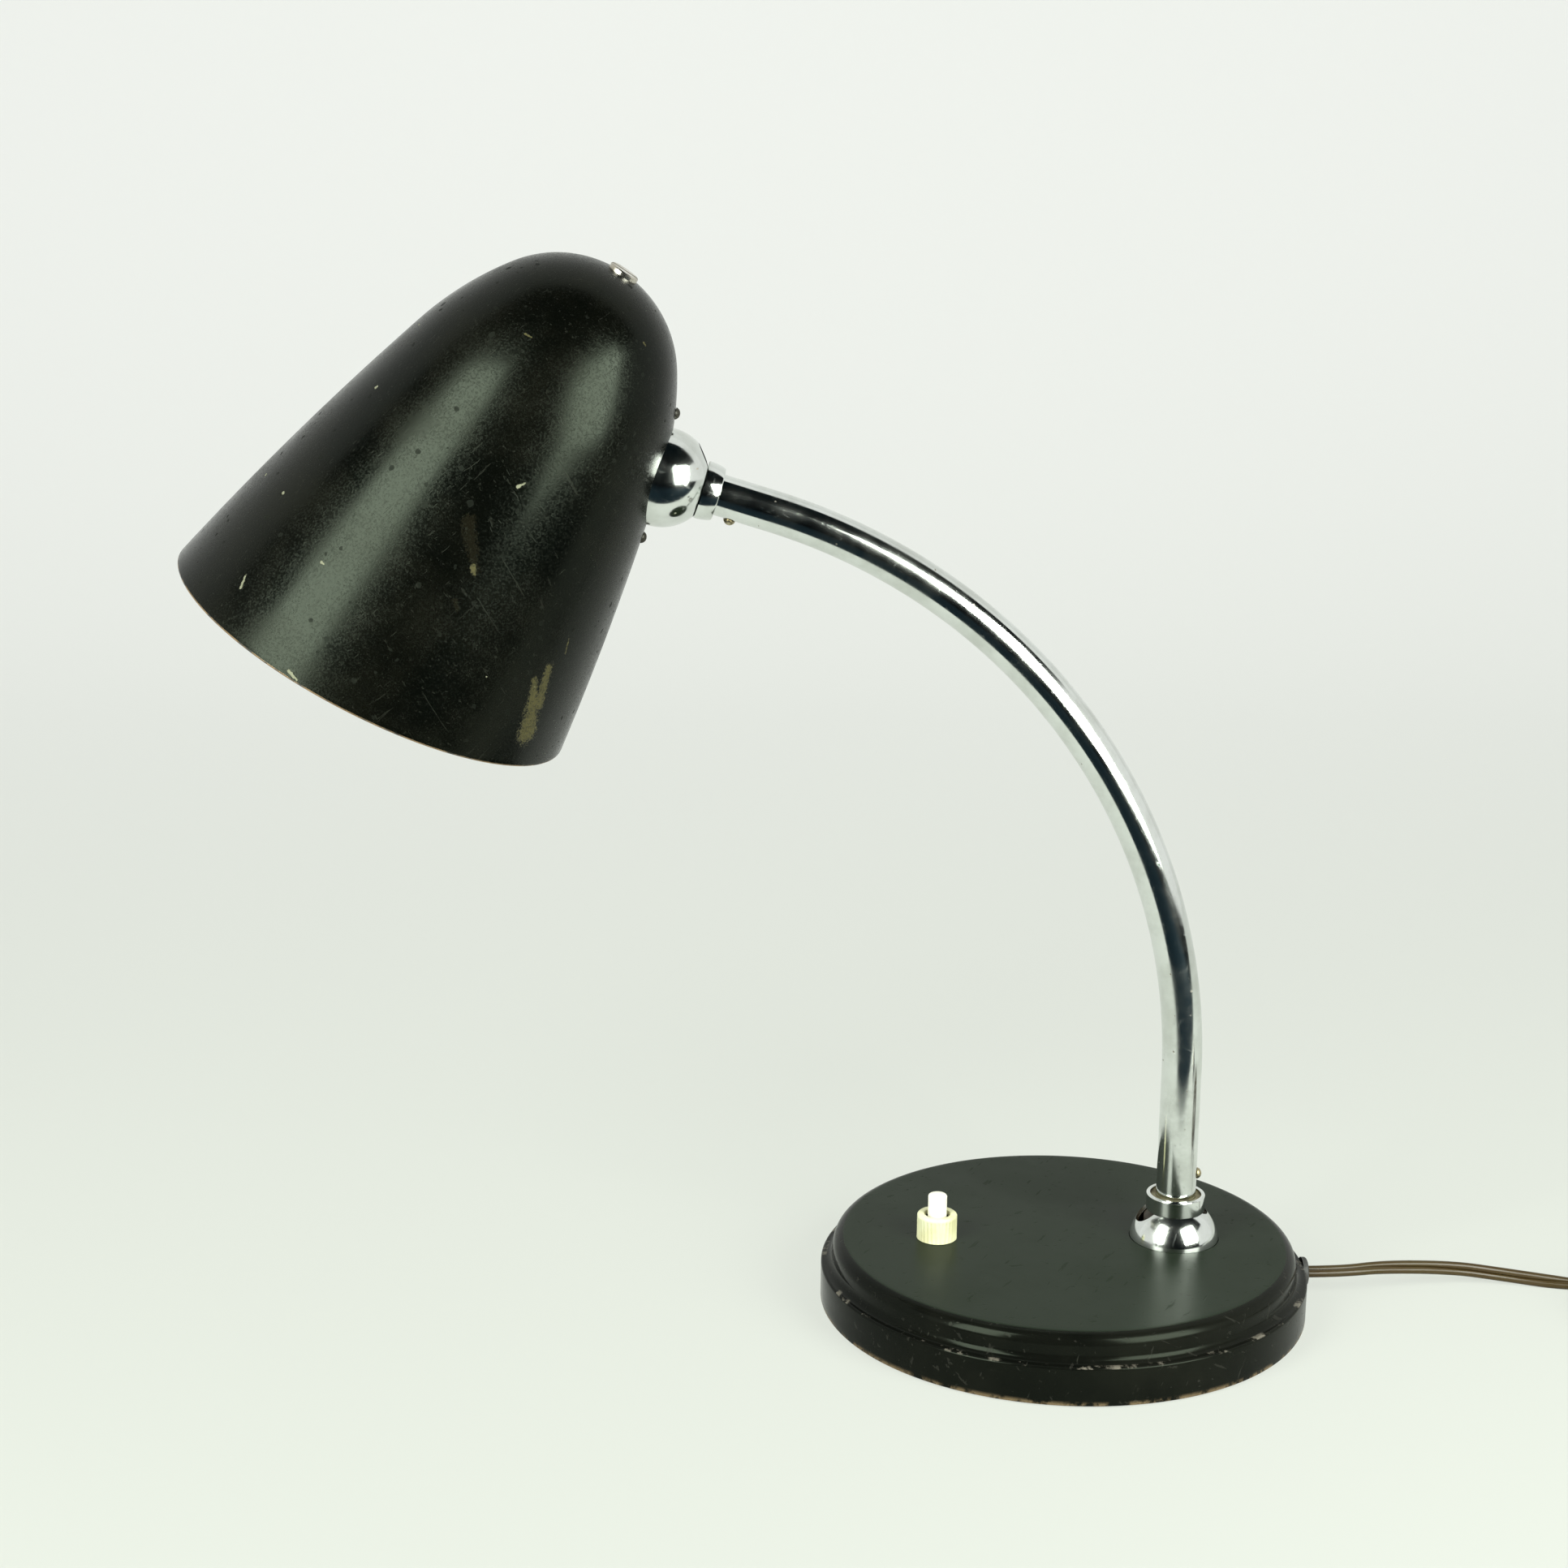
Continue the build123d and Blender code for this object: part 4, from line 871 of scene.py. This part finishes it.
class Look:
    """A shader tree, the coordinates that it works in, and short ways to add its nodes."""

    def __init__(self, tree):
        self.tree = tree
        self.place = None

    def join(self, socket, value):
        """Links an output to an input, or sets the input's own value."""
        if isinstance(value, Wire):
            value = value.socket
        if isinstance(value, bpy.types.NodeSocket):
            self.tree.links.new(value, socket)
        elif value is not None:
            whole = socket.type == "RGBA" and len(value) == 3
            socket.default_value = (*value, 1) if whole else value

    def node(self, kind, **settings):
        """Adds a node; settings are its own values, or its inputs' by name or as i0, i1, i2."""
        made = self.tree.nodes.new("ShaderNode" + kind)
        for name, value in settings.items():
            if name[1:].isdigit():
                self.join(made.inputs[int(name[1:])], value)
            elif name.islower():
                setattr(made, name, value)
            else:
                self.join(made.inputs[name.replace("_", " ")], value)
        return made

    def maths(self, operation, a, b, clamp=False):
        made = self.node("Math", operation=operation, use_clamp=clamp, i0=a, i1=b)
        return Wire(self, made.outputs[0])

    def vectors(self, operation, a, b, wanted="Vector"):
        made = self.node("VectorMath", operation=operation, i0=a, i1=b)
        return Wire(self, made.outputs[wanted])

    def noise(self, scale, detail=2.0, roughness=0.5, place=None):
        made = self.node(
            "TexNoise", Vector=place or self.place, Scale=scale, Detail=detail, Roughness=roughness
        )
        return Wire(self, made.outputs["Fac"])

    def band(self, value, low, high, out_low=0.0, out_high=1.0):
        """A smooth step of a value between two limits."""
        made = self.node(
            "MapRange", interpolation_type="SMOOTHSTEP", Value=value, From_Min=low, From_Max=high,
            To_Min=out_low, To_Max=out_high,
        )
        return Wire(self, made.outputs["Result"])

    def mixed(self, colour, *coats):
        """A colour with others laid over it, each by its share.

        Inputs 0, 6 and 7 of a colour mix are the share and the two colours.
        """
        for share, over in coats:
            made = self.node("Mix", data_type="RGBA", i0=share, i6=colour, i7=over)
            colour = Wire(self, made.outputs[2])
        return colour

    def use(self, name, **inputs):
        """Places a shared group at the coordinates, and gives its outputs."""
        made = self.tree.nodes.new("ShaderNodeGroup")
        made.node_tree = groups[name]
        for label, value in {"Position": self.place, **inputs}.items():
            self.join(made.inputs[label], value)
        return [Wire(self, socket) for socket in made.outputs]


class Finish(Look):
    """A material with a Principled shader, in the piece's own coordinates."""

    def __init__(self, name, **fixed):
        self.material = bpy.data.materials.new(name)
        self.material.use_nodes = True
        super().__init__(self.material.node_tree)
        self.shader = self.tree.nodes["Principled BSDF"]
        self.place = Wire(self, self.node("TexCoord").outputs["Object"])
        self.set(**fixed)

    def set(self, **inputs):
        for label, value in inputs.items():
            self.join(self.shader.inputs[label.replace("_", " ")], value)

    def coat(self, colour, rough, height=None, strength=1.0, distance=1.0):
        """Joins up the colour, the roughness and the bump, and gives the material."""
        self.set(Base_Color=colour, Roughness=rough)
        if height is not None:
            bump = self.node("Bump", Height=height, Strength=strength, Distance=distance)
            self.set(Normal=bump.outputs["Normal"])
        return self.material


def group(name, fill, outputs, **inputs):
    """A shared shader group: named inputs with their values, and outputs that fill works out."""
    tree = bpy.data.node_groups.new(name, "ShaderNodeTree")
    vector, number = "NodeSocketVector", "NodeSocketFloat"
    tree.interface.new_socket("Position", in_out="INPUT", socket_type=vector)
    for label, value in inputs.items():
        kind = number if isinstance(value, float) else vector
        tree.interface.new_socket(label, in_out="INPUT", socket_type=kind).default_value = value
    for label in outputs:
        tree.interface.new_socket(label, in_out="OUTPUT", socket_type=number)
    look = Look(tree)
    given = tree.nodes.new("NodeGroupInput").outputs
    out = tree.nodes.new("NodeGroupOutput").inputs
    look.place = Wire(look, given["Position"])
    for label, value in zip(outputs, fill(look, *[Wire(look, given[label]) for label in inputs])):
        look.join(out[label], value)
    return tree


def scratches(look, scale, amount):
    """Fine straight scratches in three directions, as lines from 0 to 1."""
    found = []
    for turn, stretch in (
        ((0.3, 0.2, 0.5), 0.03), ((0.9, 1.2, 2.1), 0.05), ((2.0, 0.4, 1.2), 0.02)
    ):
        facing = look.node("Mapping", Vector=look.place, Rotation=turn)
        thin = look.node("Mapping", Vector=facing.outputs[0], Scale=(1, stretch, 1))
        found.append(look.band(look.noise(scale, 3.0, 0.6, thin.outputs[0]), 0.66, 0.70))
    return [(found[0] | found[1] | found[2]) * amount]


def smudges(look, scale, least, most):
    """Cloudy handling marks that vary a roughness between two values."""
    cloud = look.band(look.noise(scale, 5.0, 0.62), 0.35, 0.68)
    return [least + cloud * (most - least), cloud]


def mark(look, begin, end, width, wave):
    """A ragged worn mark along a line between two points, as a mask from 0 to 1."""
    line = look.vectors("SUBTRACT", end, begin)
    gap = look.vectors("SUBTRACT", look.place, begin)
    along_line = look.vectors("DOT_PRODUCT", gap, line, "Value")
    whole = look.vectors("DOT_PRODUCT", line, line, "Value")
    share = look.maths("DIVIDE", along_line, whole, True)
    nearest = look.node("VectorMath", operation="SCALE", i0=line, Scale=share).outputs[0]
    reach = look.vectors("DISTANCE", gap, nearest, "Value")
    ragged = (wave - 0.5) * 4.4 + share * 0.45
    return [look.band(reach / width + ragged, 0.85, 1.15, 1.0, 0.0)]


def specks(look, scale, size, share):
    """Scattered small specks, as a mask from 0 to 1."""
    bent = look.node("TexNoise", Vector=look.place, Scale=900.0, Detail=2.0)
    push = look.node(
        "VectorMath", operation="MULTIPLY_ADD", i0=bent.outputs["Color"],
        i1=(0.0012, 0.0012, 0.0012), i2=look.place,
    )
    cells = look.node("TexVoronoi", Vector=push.outputs[0], Scale=scale)
    pick = look.node("SeparateColor", Color=cells.outputs["Color"]).outputs
    chosen = look.maths("LESS_THAN", pick[0], share)
    near = look.maths("LESS_THAN", cells.outputs["Distance"], size * Wire(look, pick[1]))
    return [chosen * near]


groups = {
    "scratches": group("fine_scratches", scratches, ["Lines"], Scale=60.0, Amount=0.5),
    "smudges": group(
        "smudges", smudges, ["Roughness", "Cloud"], Scale=25.0, Least=0.2, Most=0.4
    ),
    "mark": group(
        "worn_mark", mark, ["Mask"], From=(0, 0, 0), To=(0, 0, 0.001), Width=0.001, Wave=0.5
    ),
    "specks": group("specks", specks, ["Mask"], Scale=200.0, Size=0.12, Share=0.2),
}

# Worn marks on the shade, in its own frame in millimetres: kind, from, to, half width
shade_marks = [
    ("khaki", (48.8, -39.5, -125.4), (45.4, -40.9, -117.0), 3.7),
    ("khaki", (45.0, -41.2, -116.4), (41.8, -42.6, -110.0), 1.8),
    ("khaki", (47.1, -38.8, -116.4), (43.5, -39.2, -105.2), 2.1),
    ("dull", (-0.5, -52.1, -77.6), (8.6, -54.1, -88.4), 2.10),
    ("khaki", (7.6, -54.1, -87.7), (8.6, -54.2, -89.0), 0.9),
    ("dull", (8.4, -56.5, -98.5), (10.5, -56.6, -100.4), 0.80),
    ("pale", (5.9, -47.7, -61.8), (7.2, -47.0, -59.9), 0.42),
    ("pale", (-45.3, -45.7, -133.0), (-46.0, -44.0, -129.2), 0.45),
    ("pale", (-20.9, -62.5, -141.4), (-17.7, -63.7, -142.0), 0.5),
    ("pale", (-29.7, -52.0, -111.3), (-28.8, -52.6, -111.3), 0.35),
    ("khaki", (45.7, -34.8, -99.8), (44.1, -35.1, -95.4), 0.27),
    ("khaki", (-15.6, -32.3, -25.9), (-13.5, -33.0, -25.6), 0.35),
    ("khaki", (15.1, -20.6, -10.7), (16.0, -20.5, -11.1), 0.36),
]


def common_finish(name, light, dark, least, most, scale=40.0, scratch=0.3, grain=0.2, **fixed):
    """A finish with cloudy colour, smudged roughness, fine scratches and a slight grain."""
    look = Finish(name, **fixed)
    rough, cloud = look.use("smudges", Scale=scale, Least=least, Most=most)
    [lines] = look.use("scratches", Scale=scale * 10, Amount=scratch)
    height = look.noise(1800.0) * grain - lines
    return look.coat(look.mixed(light, (cloud, dark)), rough + lines * 0.2, height, 0.25, 0.00006)


def shade_enamel():
    """Worn black enamel: smudges, scratches, pits, khaki chips and a few pale ones."""
    look = Finish("shade_enamel", Specular_IOR_Level=0.13, Specular_Tint=gloss_tint)
    into = shade_place.inverted()
    own = look.node(
        "Mapping", Vector=look.place, Location=into.to_translation(), Rotation=into.to_euler("XYZ")
    )
    look.place = Wire(look, own.outputs[0])
    rough, cloud = look.use("smudges", Scale=32.0, Least=0.15, Most=0.28)
    [lines] = look.use("scratches", Scale=900.0, Amount=0.8)
    [pits] = look.use("specks", Scale=300.0, Size=0.30, Share=0.30)
    [dust] = look.use("specks", Scale=140.0, Size=0.11, Share=0.10)
    wave = look.noise(1100.0, 6.0, 0.85)
    grain = look.band(look.noise(1400.0, 4.0, 0.75), 0.46, 0.66)
    worn = {}
    for kind, begin, end, width in shade_marks:
        [mask] = look.use(
            "mark", From=Vector(begin) * mm, To=Vector(end) * mm, Width=width * mm, Wave=wave
        )
        worn[kind] = worn[kind] | mask if kind in worn else mask
    slant = (-math.tan(mouth_slant), 0, 1)
    over_edge = look.vectors("DOT_PRODUCT", look.place, slant, "Value") + mouth_depth
    edge = look.band(over_edge + wave * 0.004, 0.0018, 0.0024, 1.0, 0.0)
    khaki = (worn["khaki"] | edge) * (1.0 - grain * 0.75)
    pale = worn["pale"] | dust
    colour = look.mixed(
        (0.0009, 0.0011, 0.0008),
        (cloud, (0.0024, 0.0024, 0.0016)),
        (lines * 0.08, (0.06, 0.06, 0.048)),
        (worn["dull"], (0.0042, 0.0038, 0.0022)),
        (khaki, (0.046, 0.040, 0.016)),
        (pale * 0.8, (0.17, 0.17, 0.12)),
    )
    chips = khaki | pale
    rough = rough.capped_sum((chips | worn["dull"] * 0.15 | pits) * 0.3)
    rough = rough.capped_sum(grain * 0.13).capped_sum(lines * 0.12)
    deep = chips | (lines | pits | grain * 0.5) * 0.35
    return look.coat(colour, rough, 1.0 - deep, 0.6, 0.00010)


def worn_rim():
    """The shade's edge, worn through to brown metal."""
    look = Finish("worn_rim")
    bare = look.band(look.noise(160.0, 5.0, 0.65), 0.40, 0.55)
    look.set(Metallic=bare * 0.6)
    rough, _ = look.use("smudges", Scale=90.0, Least=0.3, Most=0.6)
    return look.coat(look.mixed((0.02, 0.018, 0.016), (bare, (0.20, 0.135, 0.075))), rough)


def base_enamel():
    """Black base: satin top with painted green-grey sheen, glossier edge, pale line on the
    shoulder, brown on the rim.
    """
    look = Finish("base_enamel", Specular_IOR_Level=0.068, Specular_Tint=gloss_tint)
    height = look.node("SeparateXYZ", Vector=look.place).outputs["Z"]
    rough, cloud = look.use("smudges", Scale=18.0, Least=0.0, Most=0.1)
    [lines] = look.use("scratches", Scale=400.0, Amount=0.7)
    [pale] = look.use("specks", Scale=130.0, Size=0.10, Share=0.10)
    # The top face: satin roughness, and a painted green-grey reflection of the pale surroundings
    satin_top_and_painted_sheen = look.band(height, 21.9 * mm, 22.08 * mm)
    breaks = look.noise(120.0, 5.0, 0.7)
    rim = look.band(height, 0.5 * mm, 2.4 * mm, 1.0, 0.0) * look.band(breaks, 0.44, 0.56)
    # A pale broken line along the shoulder
    above = look.band(height, 12.55 * mm, 12.95 * mm)
    below = look.band(height, 13.09 * mm, 13.3 * mm, 1.0, 0.0)
    edge = above * below * look.band(breaks, 0.54, 0.64)
    colour = look.mixed(
        (0.0022, 0.0025, 0.0020),
        (cloud, (0.0048, 0.0050, 0.0038)),
        (lines * 0.12, (0.09, 0.085, 0.075)),
        (rim, (0.12, 0.085, 0.05)),
        (edge * 0.5, (0.20, 0.18, 0.15)),
        (pale * 0.35, (0.22, 0.20, 0.17)),
        # painted reflection on the top face
        (satin_top_and_painted_sheen * 0.85, (0.0092, 0.0140, 0.0082)),
    )
    worn = rim | lines
    rough = (rough + satin_top_and_painted_sheen * 0.17 + 0.13).capped_sum(worn * 0.2)
    return look.coat(colour, rough, 1.0 - worn, 0.35, 0.00006)


def old_chrome():
    """Chrome plate with a warm cast, fine scratches, pits and a little brown in them."""
    look = Finish("old_chrome", Metallic=1.0)
    rough, cloud = look.use("smudges", Scale=60.0, Least=0.09, Most=0.19)
    [lines] = look.use("scratches", Scale=900.0, Amount=0.6)
    [pits] = look.use("specks", Scale=420.0, Size=0.16, Share=0.10)
    colour = look.mixed(
        (0.77, 0.80, 0.775), (cloud, (0.64, 0.665, 0.63)), (pits * 0.7, (0.16, 0.12, 0.08))
    )
    rough = (rough + lines * 0.12).capped_sum(pits * 0.3)
    return look.coat(colour, rough, 1.0 - (pits | lines * 0.4), 0.3, 0.00004)


def cord_brown():
    """The cord's brown plastic, a little redder or greener along its length."""
    look = Finish("cord_brown", Specular_IOR_Level=0.25)
    rough, cloud = look.use("smudges", Scale=45.0, Least=0.26, Most=0.42)
    greener = look.band(look.noise(28.0, 3.0), 0.35, 0.65)
    colour = look.mixed(
        (0.030, 0.017, 0.006),
        (greener, (0.034, 0.024, 0.007)),
        (cloud * 0.2, (0.055, 0.042, 0.018)),
    )
    return look.coat(colour, rough, look.noise(700.0, 3.0), 0.12, 0.00006)


def felt():
    """Grey-green felt under the base."""
    look = Finish("felt", Sheen_Weight=0.3)
    fibres = look.noise(2200.0, 4.0, 0.7)
    rough, _ = look.use("smudges", Scale=35.0, Least=0.85, Most=0.98)
    colour = look.mixed((0.05, 0.055, 0.05), (fibres, (0.10, 0.105, 0.09)))
    return look.coat(colour, rough, fibres, 0.6, 0.0003)


finishes = {
    make.__name__: make()
    for make in (shade_enamel, worn_rim, base_enamel, old_chrome, cord_brown, felt)
}
metal = {"Metallic": 1.0}

# Name, light and dark colour, least and most roughness, and what else differs
for name, light, dark, least, most, others in (
    ("pale_enamel", (0.72, 0.70, 0.64), (0.62, 0.59, 0.52), 0.35, 0.5, {"scale": 20.0}),
    ("zinc_steel", (0.48, 0.48, 0.47), (0.30, 0.29, 0.27), 0.28, 0.45, metal),
    ("dark_steel", (0.030, 0.028, 0.022), (0.016, 0.015, 0.012), 0.3, 0.5,
     {"Metallic": 0.3, "scale": 150.0, "Specular_IOR_Level": 0.2}),
    ("nickel_steel", (0.66, 0.63, 0.57), (0.45, 0.41, 0.34), 0.18, 0.34, {**metal, "scale": 120.0}),
    ("ballast_iron", (0.10, 0.085, 0.075), (0.055, 0.045, 0.04), 0.6, 0.8, {"Metallic": 0.4}),
    ("aged_brass", (0.50, 0.46, 0.32), (0.30, 0.25, 0.14), 0.24, 0.42, {**metal, "scale": 160.0}),
    ("aluminium_block", (0.55, 0.55, 0.54), (0.42, 0.42, 0.41), 0.35, 0.5, metal),
    ("ivory_plastic", (0.60, 0.60, 0.41), (0.50, 0.48, 0.28), 0.34, 0.5,
     {"scale": 90.0, "grain": 0.35}),
    ("white_plastic", (0.76, 0.74, 0.66), (0.66, 0.63, 0.54), 0.3, 0.45, {"scale": 90.0}),
    ("black_plastic", (0.012, 0.011, 0.010), (0.020, 0.018, 0.016), 0.26, 0.45,
     {"scale": 60.0, "Specular_IOR_Level": 0.3}),
    ("block_plastic", (0.55, 0.53, 0.48), (0.46, 0.44, 0.38), 0.4, 0.55, {}),
    ("porcelain", (0.78, 0.77, 0.73), (0.70, 0.68, 0.62), 0.12, 0.22, {"scratch": 0.1}),
    ("tarnished_ring", (0.15, 0.13, 0.07), (0.07, 0.055, 0.03), 0.5, 0.7,
     {"Metallic": 0.2, "scale": 200.0}),
    # painted shade for the insides of the domes and their saddles
    ("painted_shade_recess", (0.030, 0.019, 0.010), (0.012, 0.008, 0.004), 0.5, 0.7, {"scale": 200.0}),
    ("grommet_rubber", (0.02, 0.02, 0.02), (0.035, 0.034, 0.033), 0.5, 0.7, {"scale": 120.0}),
    ("white_flex", (0.62, 0.60, 0.54), (0.52, 0.49, 0.42), 0.35, 0.5, {}),
):
    finishes[name] = common_finish(name, light, dark, least, most, **others)

slot_finish = {  # the other slots have a finish of their own name
    "black_enamel": "base_enamel", "chrome_plate": "old_chrome", "brown_flex": "cord_brown",
}


# Pieces

def paint(piece, *names):
    """Gives a piece its finishes, in the order of its material slots."""
    if piece.data.materials:
        piece.data.materials.clear()
    for name in names:
        piece.data.materials.append(finishes[name])


def add(piece, body, slot, replaced, *names):
    """Sets a new piece on its body, in place of CAD nodes, with its finishes."""
    piece.data.transform(piece.matrix_world)
    piece.matrix_world = Matrix()
    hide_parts(*replaced)
    paint(piece, *names)
    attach(piece, body)


cord = lofted("cord", along(cord_line, cord_frames(cord_line), twin_section()))
add(cord, "base", "brown_flex", ["cord_free", "cord_coil", "cord_tail"], "cord_brown")
plug_moulding = plug()
add(plug_moulding, "base", "black_plastic", ["plug_body"], "black_plastic")
add(shade(), "head", "black_enamel", ["shade"], "shade_enamel", "pale_enamel", "worn_rim")
add(base_shell(), "base", "black_enamel", ["base_shell"], "base_enamel")
add(arm_tube(), "arm", "chrome_plate", ["arm_tube"], "old_chrome")
for name, sizes, place, body, replaced in (
    ("lower_slotted_dome", (base_dome_radius, base_skirt, base_short_end), base_joint,
     "lower_dome", "base_dome"),
    ("upper_slotted_dome", (head_dome_radius, head_skirt, head_short_end),
     head_joint @ head_slot_turn, "upper_dome", "head_dome"),
):
    dome = slotted_dome(name, *sizes, place)
    add(dome, body, "chrome_plate", [replaced], "old_chrome", "painted_shade_recess")
for name, sizes, place, replaced in (
    ("lower_collar", (base_dome_radius, base_collar_radius, 0.0), base_joint, "base_collar"),
    ("upper_collar", (head_dome_radius, head_collar_radius, head_barrel), head_joint,
     "head_collar"),
):
    ring = collar(name, *sizes, place)
    add(ring, "arm", "chrome_plate", [replaced], "old_chrome", "tarnished_ring")
add(collar_nut(), "base", "ivory_plastic", ["switch_collar_nut"], "ivory_plastic")
add(button(), "button", "white_plastic", ["switch_button"], "white_plastic")
coil_spring = return_spring()
add(coil_spring, "base", "nickel_steel", ["switch_spring"], "nickel_steel")
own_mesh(coil_spring)

for part in frame["record"]["subparts"]:
    if not cad[part["node"]].hide_render:
        slot = part["material_slot"]
        paint(cad[part["node"]], slot_finish.get(slot, slot))
# The saddles inside the domes are painted dark as shade
for saddle in ("base_saddle", "head_saddle"):
    paint(cad[saddle], "painted_shade_recess")


# Floor, backdrop and light

# The sheet's colours near the lamp and far behind it; the step between them is painted light
# falloff
sheet_near = (0.712, 0.745, 0.682)
sheet_far = (0.885, 0.905, 0.870)
light_colour = (0.95, 1.0, 0.91)


def seen_mix(look, amount, plain, seen):
    """One shader, changed for another where it is seen: directly, in gloss or through glass."""
    rays = look.node("LightPath").outputs
    share = Wire(look, rays["Is Camera Ray"]) + rays["Is Glossy Ray"]
    share = share.capped_sum(rays["Is Transmission Ray"]) * amount
    return look.node("MixShader", Fac=share, i1=plain.outputs[0], i2=seen.outputs[0]).outputs[0]


def sheet_finish():
    """A pale sheet that looks as pale in reflections, and keeps a soft shadow."""
    look = Finish("pale_sheet", Specular_IOR_Level=0.1)
    parts = look.node("SeparateXYZ", Vector=look.place).outputs
    # Painted light falloff: darker near the lamp, paler further back and up
    away = look.band(Wire(look, parts["Y"]) + parts["Z"], -0.3, 1.9)
    colour = look.mixed(sheet_near, (away, sheet_far))
    glow = look.node("Emission", Color=colour, Strength=1.0)
    both = seen_mix(look, 0.86, look.shader, glow)
    look.join(look.tree.nodes["Material Output"].inputs["Surface"], both)
    return look.coat(colour, 0.9)


def sheet(name, profile, half, material):
    """A surface whose section is carried the same way to both sides."""
    points = [(x, y, z) for y, z in profile for x in (-half, half)]
    faces = [(2 * i, 2 * i + 1, 2 * i + 3, 2 * i + 2) for i in range(len(profile) - 1)]
    made = piece_from(name, points, faces)
    made.data.materials.append(material)
    return made


def pale_sheet():
    """One pale sheet: a floor that curves up into a backdrop."""
    back, bend, half, height, steps = 0.9, 0.5, 3.0, 3.0, 12
    profile = [(-half, 0.0), (back, 0.0)]
    for step in range(1, steps + 1):
        turn = math.pi / 2 * step / steps
        profile.append((back + bend * math.sin(turn), bend - bend * math.cos(turn)))
    profile.append((back + bend, height))
    sheet("pale_sheet", profile, half, sheet_finish())


def dark_cards():
    """Dark cards in front of the lamp and over it, which show only in its gloss."""
    near, far, back, low, high, half = -0.19, -1.5, 0.1, 0.001, 1.5, 2.5
    look = Finish("dark_card", Specular_IOR_Level=0.0)
    colour = look.mixed((0.0012, 0.0024, 0.0036), (look.noise(3.0), (0.007, 0.013, 0.018)))
    profile = ((near, low), (far, low), (far, high), (back, high))
    cards = sheet("dark_cards", profile, half, look.coat(colour, 1.0))
    for ray in ("camera", "diffuse", "shadow", "transmission"):
        setattr(cards, "visible_" + ray, False)


def lamp(name, place, target, width, height, radiance, glossy=True):
    """A soft area light that faces a point."""
    data = bpy.data.lights.new(name, "AREA")
    data.color = light_colour
    data.shape = "RECTANGLE"
    data.size = width
    data.size_y = height
    data.energy = radiance * math.pi * width * height
    light = bpy.data.objects.new(name, data)
    light.visible_camera = False
    light.visible_glossy = glossy
    facing = (Vector(target) - Vector(place)).to_track_quat("-Z", "Y").to_matrix().to_4x4()
    light.matrix_world = Matrix.Translation(place) @ facing
    bpy.context.collection.objects.link(light)


def set_world():
    """A soft surround, as pale as the sheet where it is seen."""
    world = bpy.data.worlds.new("surround")
    bpy.context.scene.world = world
    world.use_nodes = True
    look = Look(world.node_tree)
    look.tree.nodes.clear()
    soft = look.node("Background", Color=light_colour, Strength=0.20)
    pale = look.node("Background", Color=sheet_far, Strength=1.0)
    out = look.node("OutputWorld")
    look.join(out.inputs["Surface"], seen_mix(look, 1.0, soft, pale))


pale_sheet()
dark_cards()
lamp("right_softbox", (0.42, -0.50, 0.38), (0.0368, 0, 0.10), 0.46, 0.50, 17.0)
lamp("left_softbox", (-0.62, -0.55, 0.52), (-0.05, 0, 0.15), 0.38, 0.75, 17.0)
lamp("overhead", (-0.05, 0.15, 1.3), (-0.05, 0, 0.1), 1.2, 0.9, 0.6, False)
set_world()

bpy.context.scene.view_settings.view_transform = "Standard"
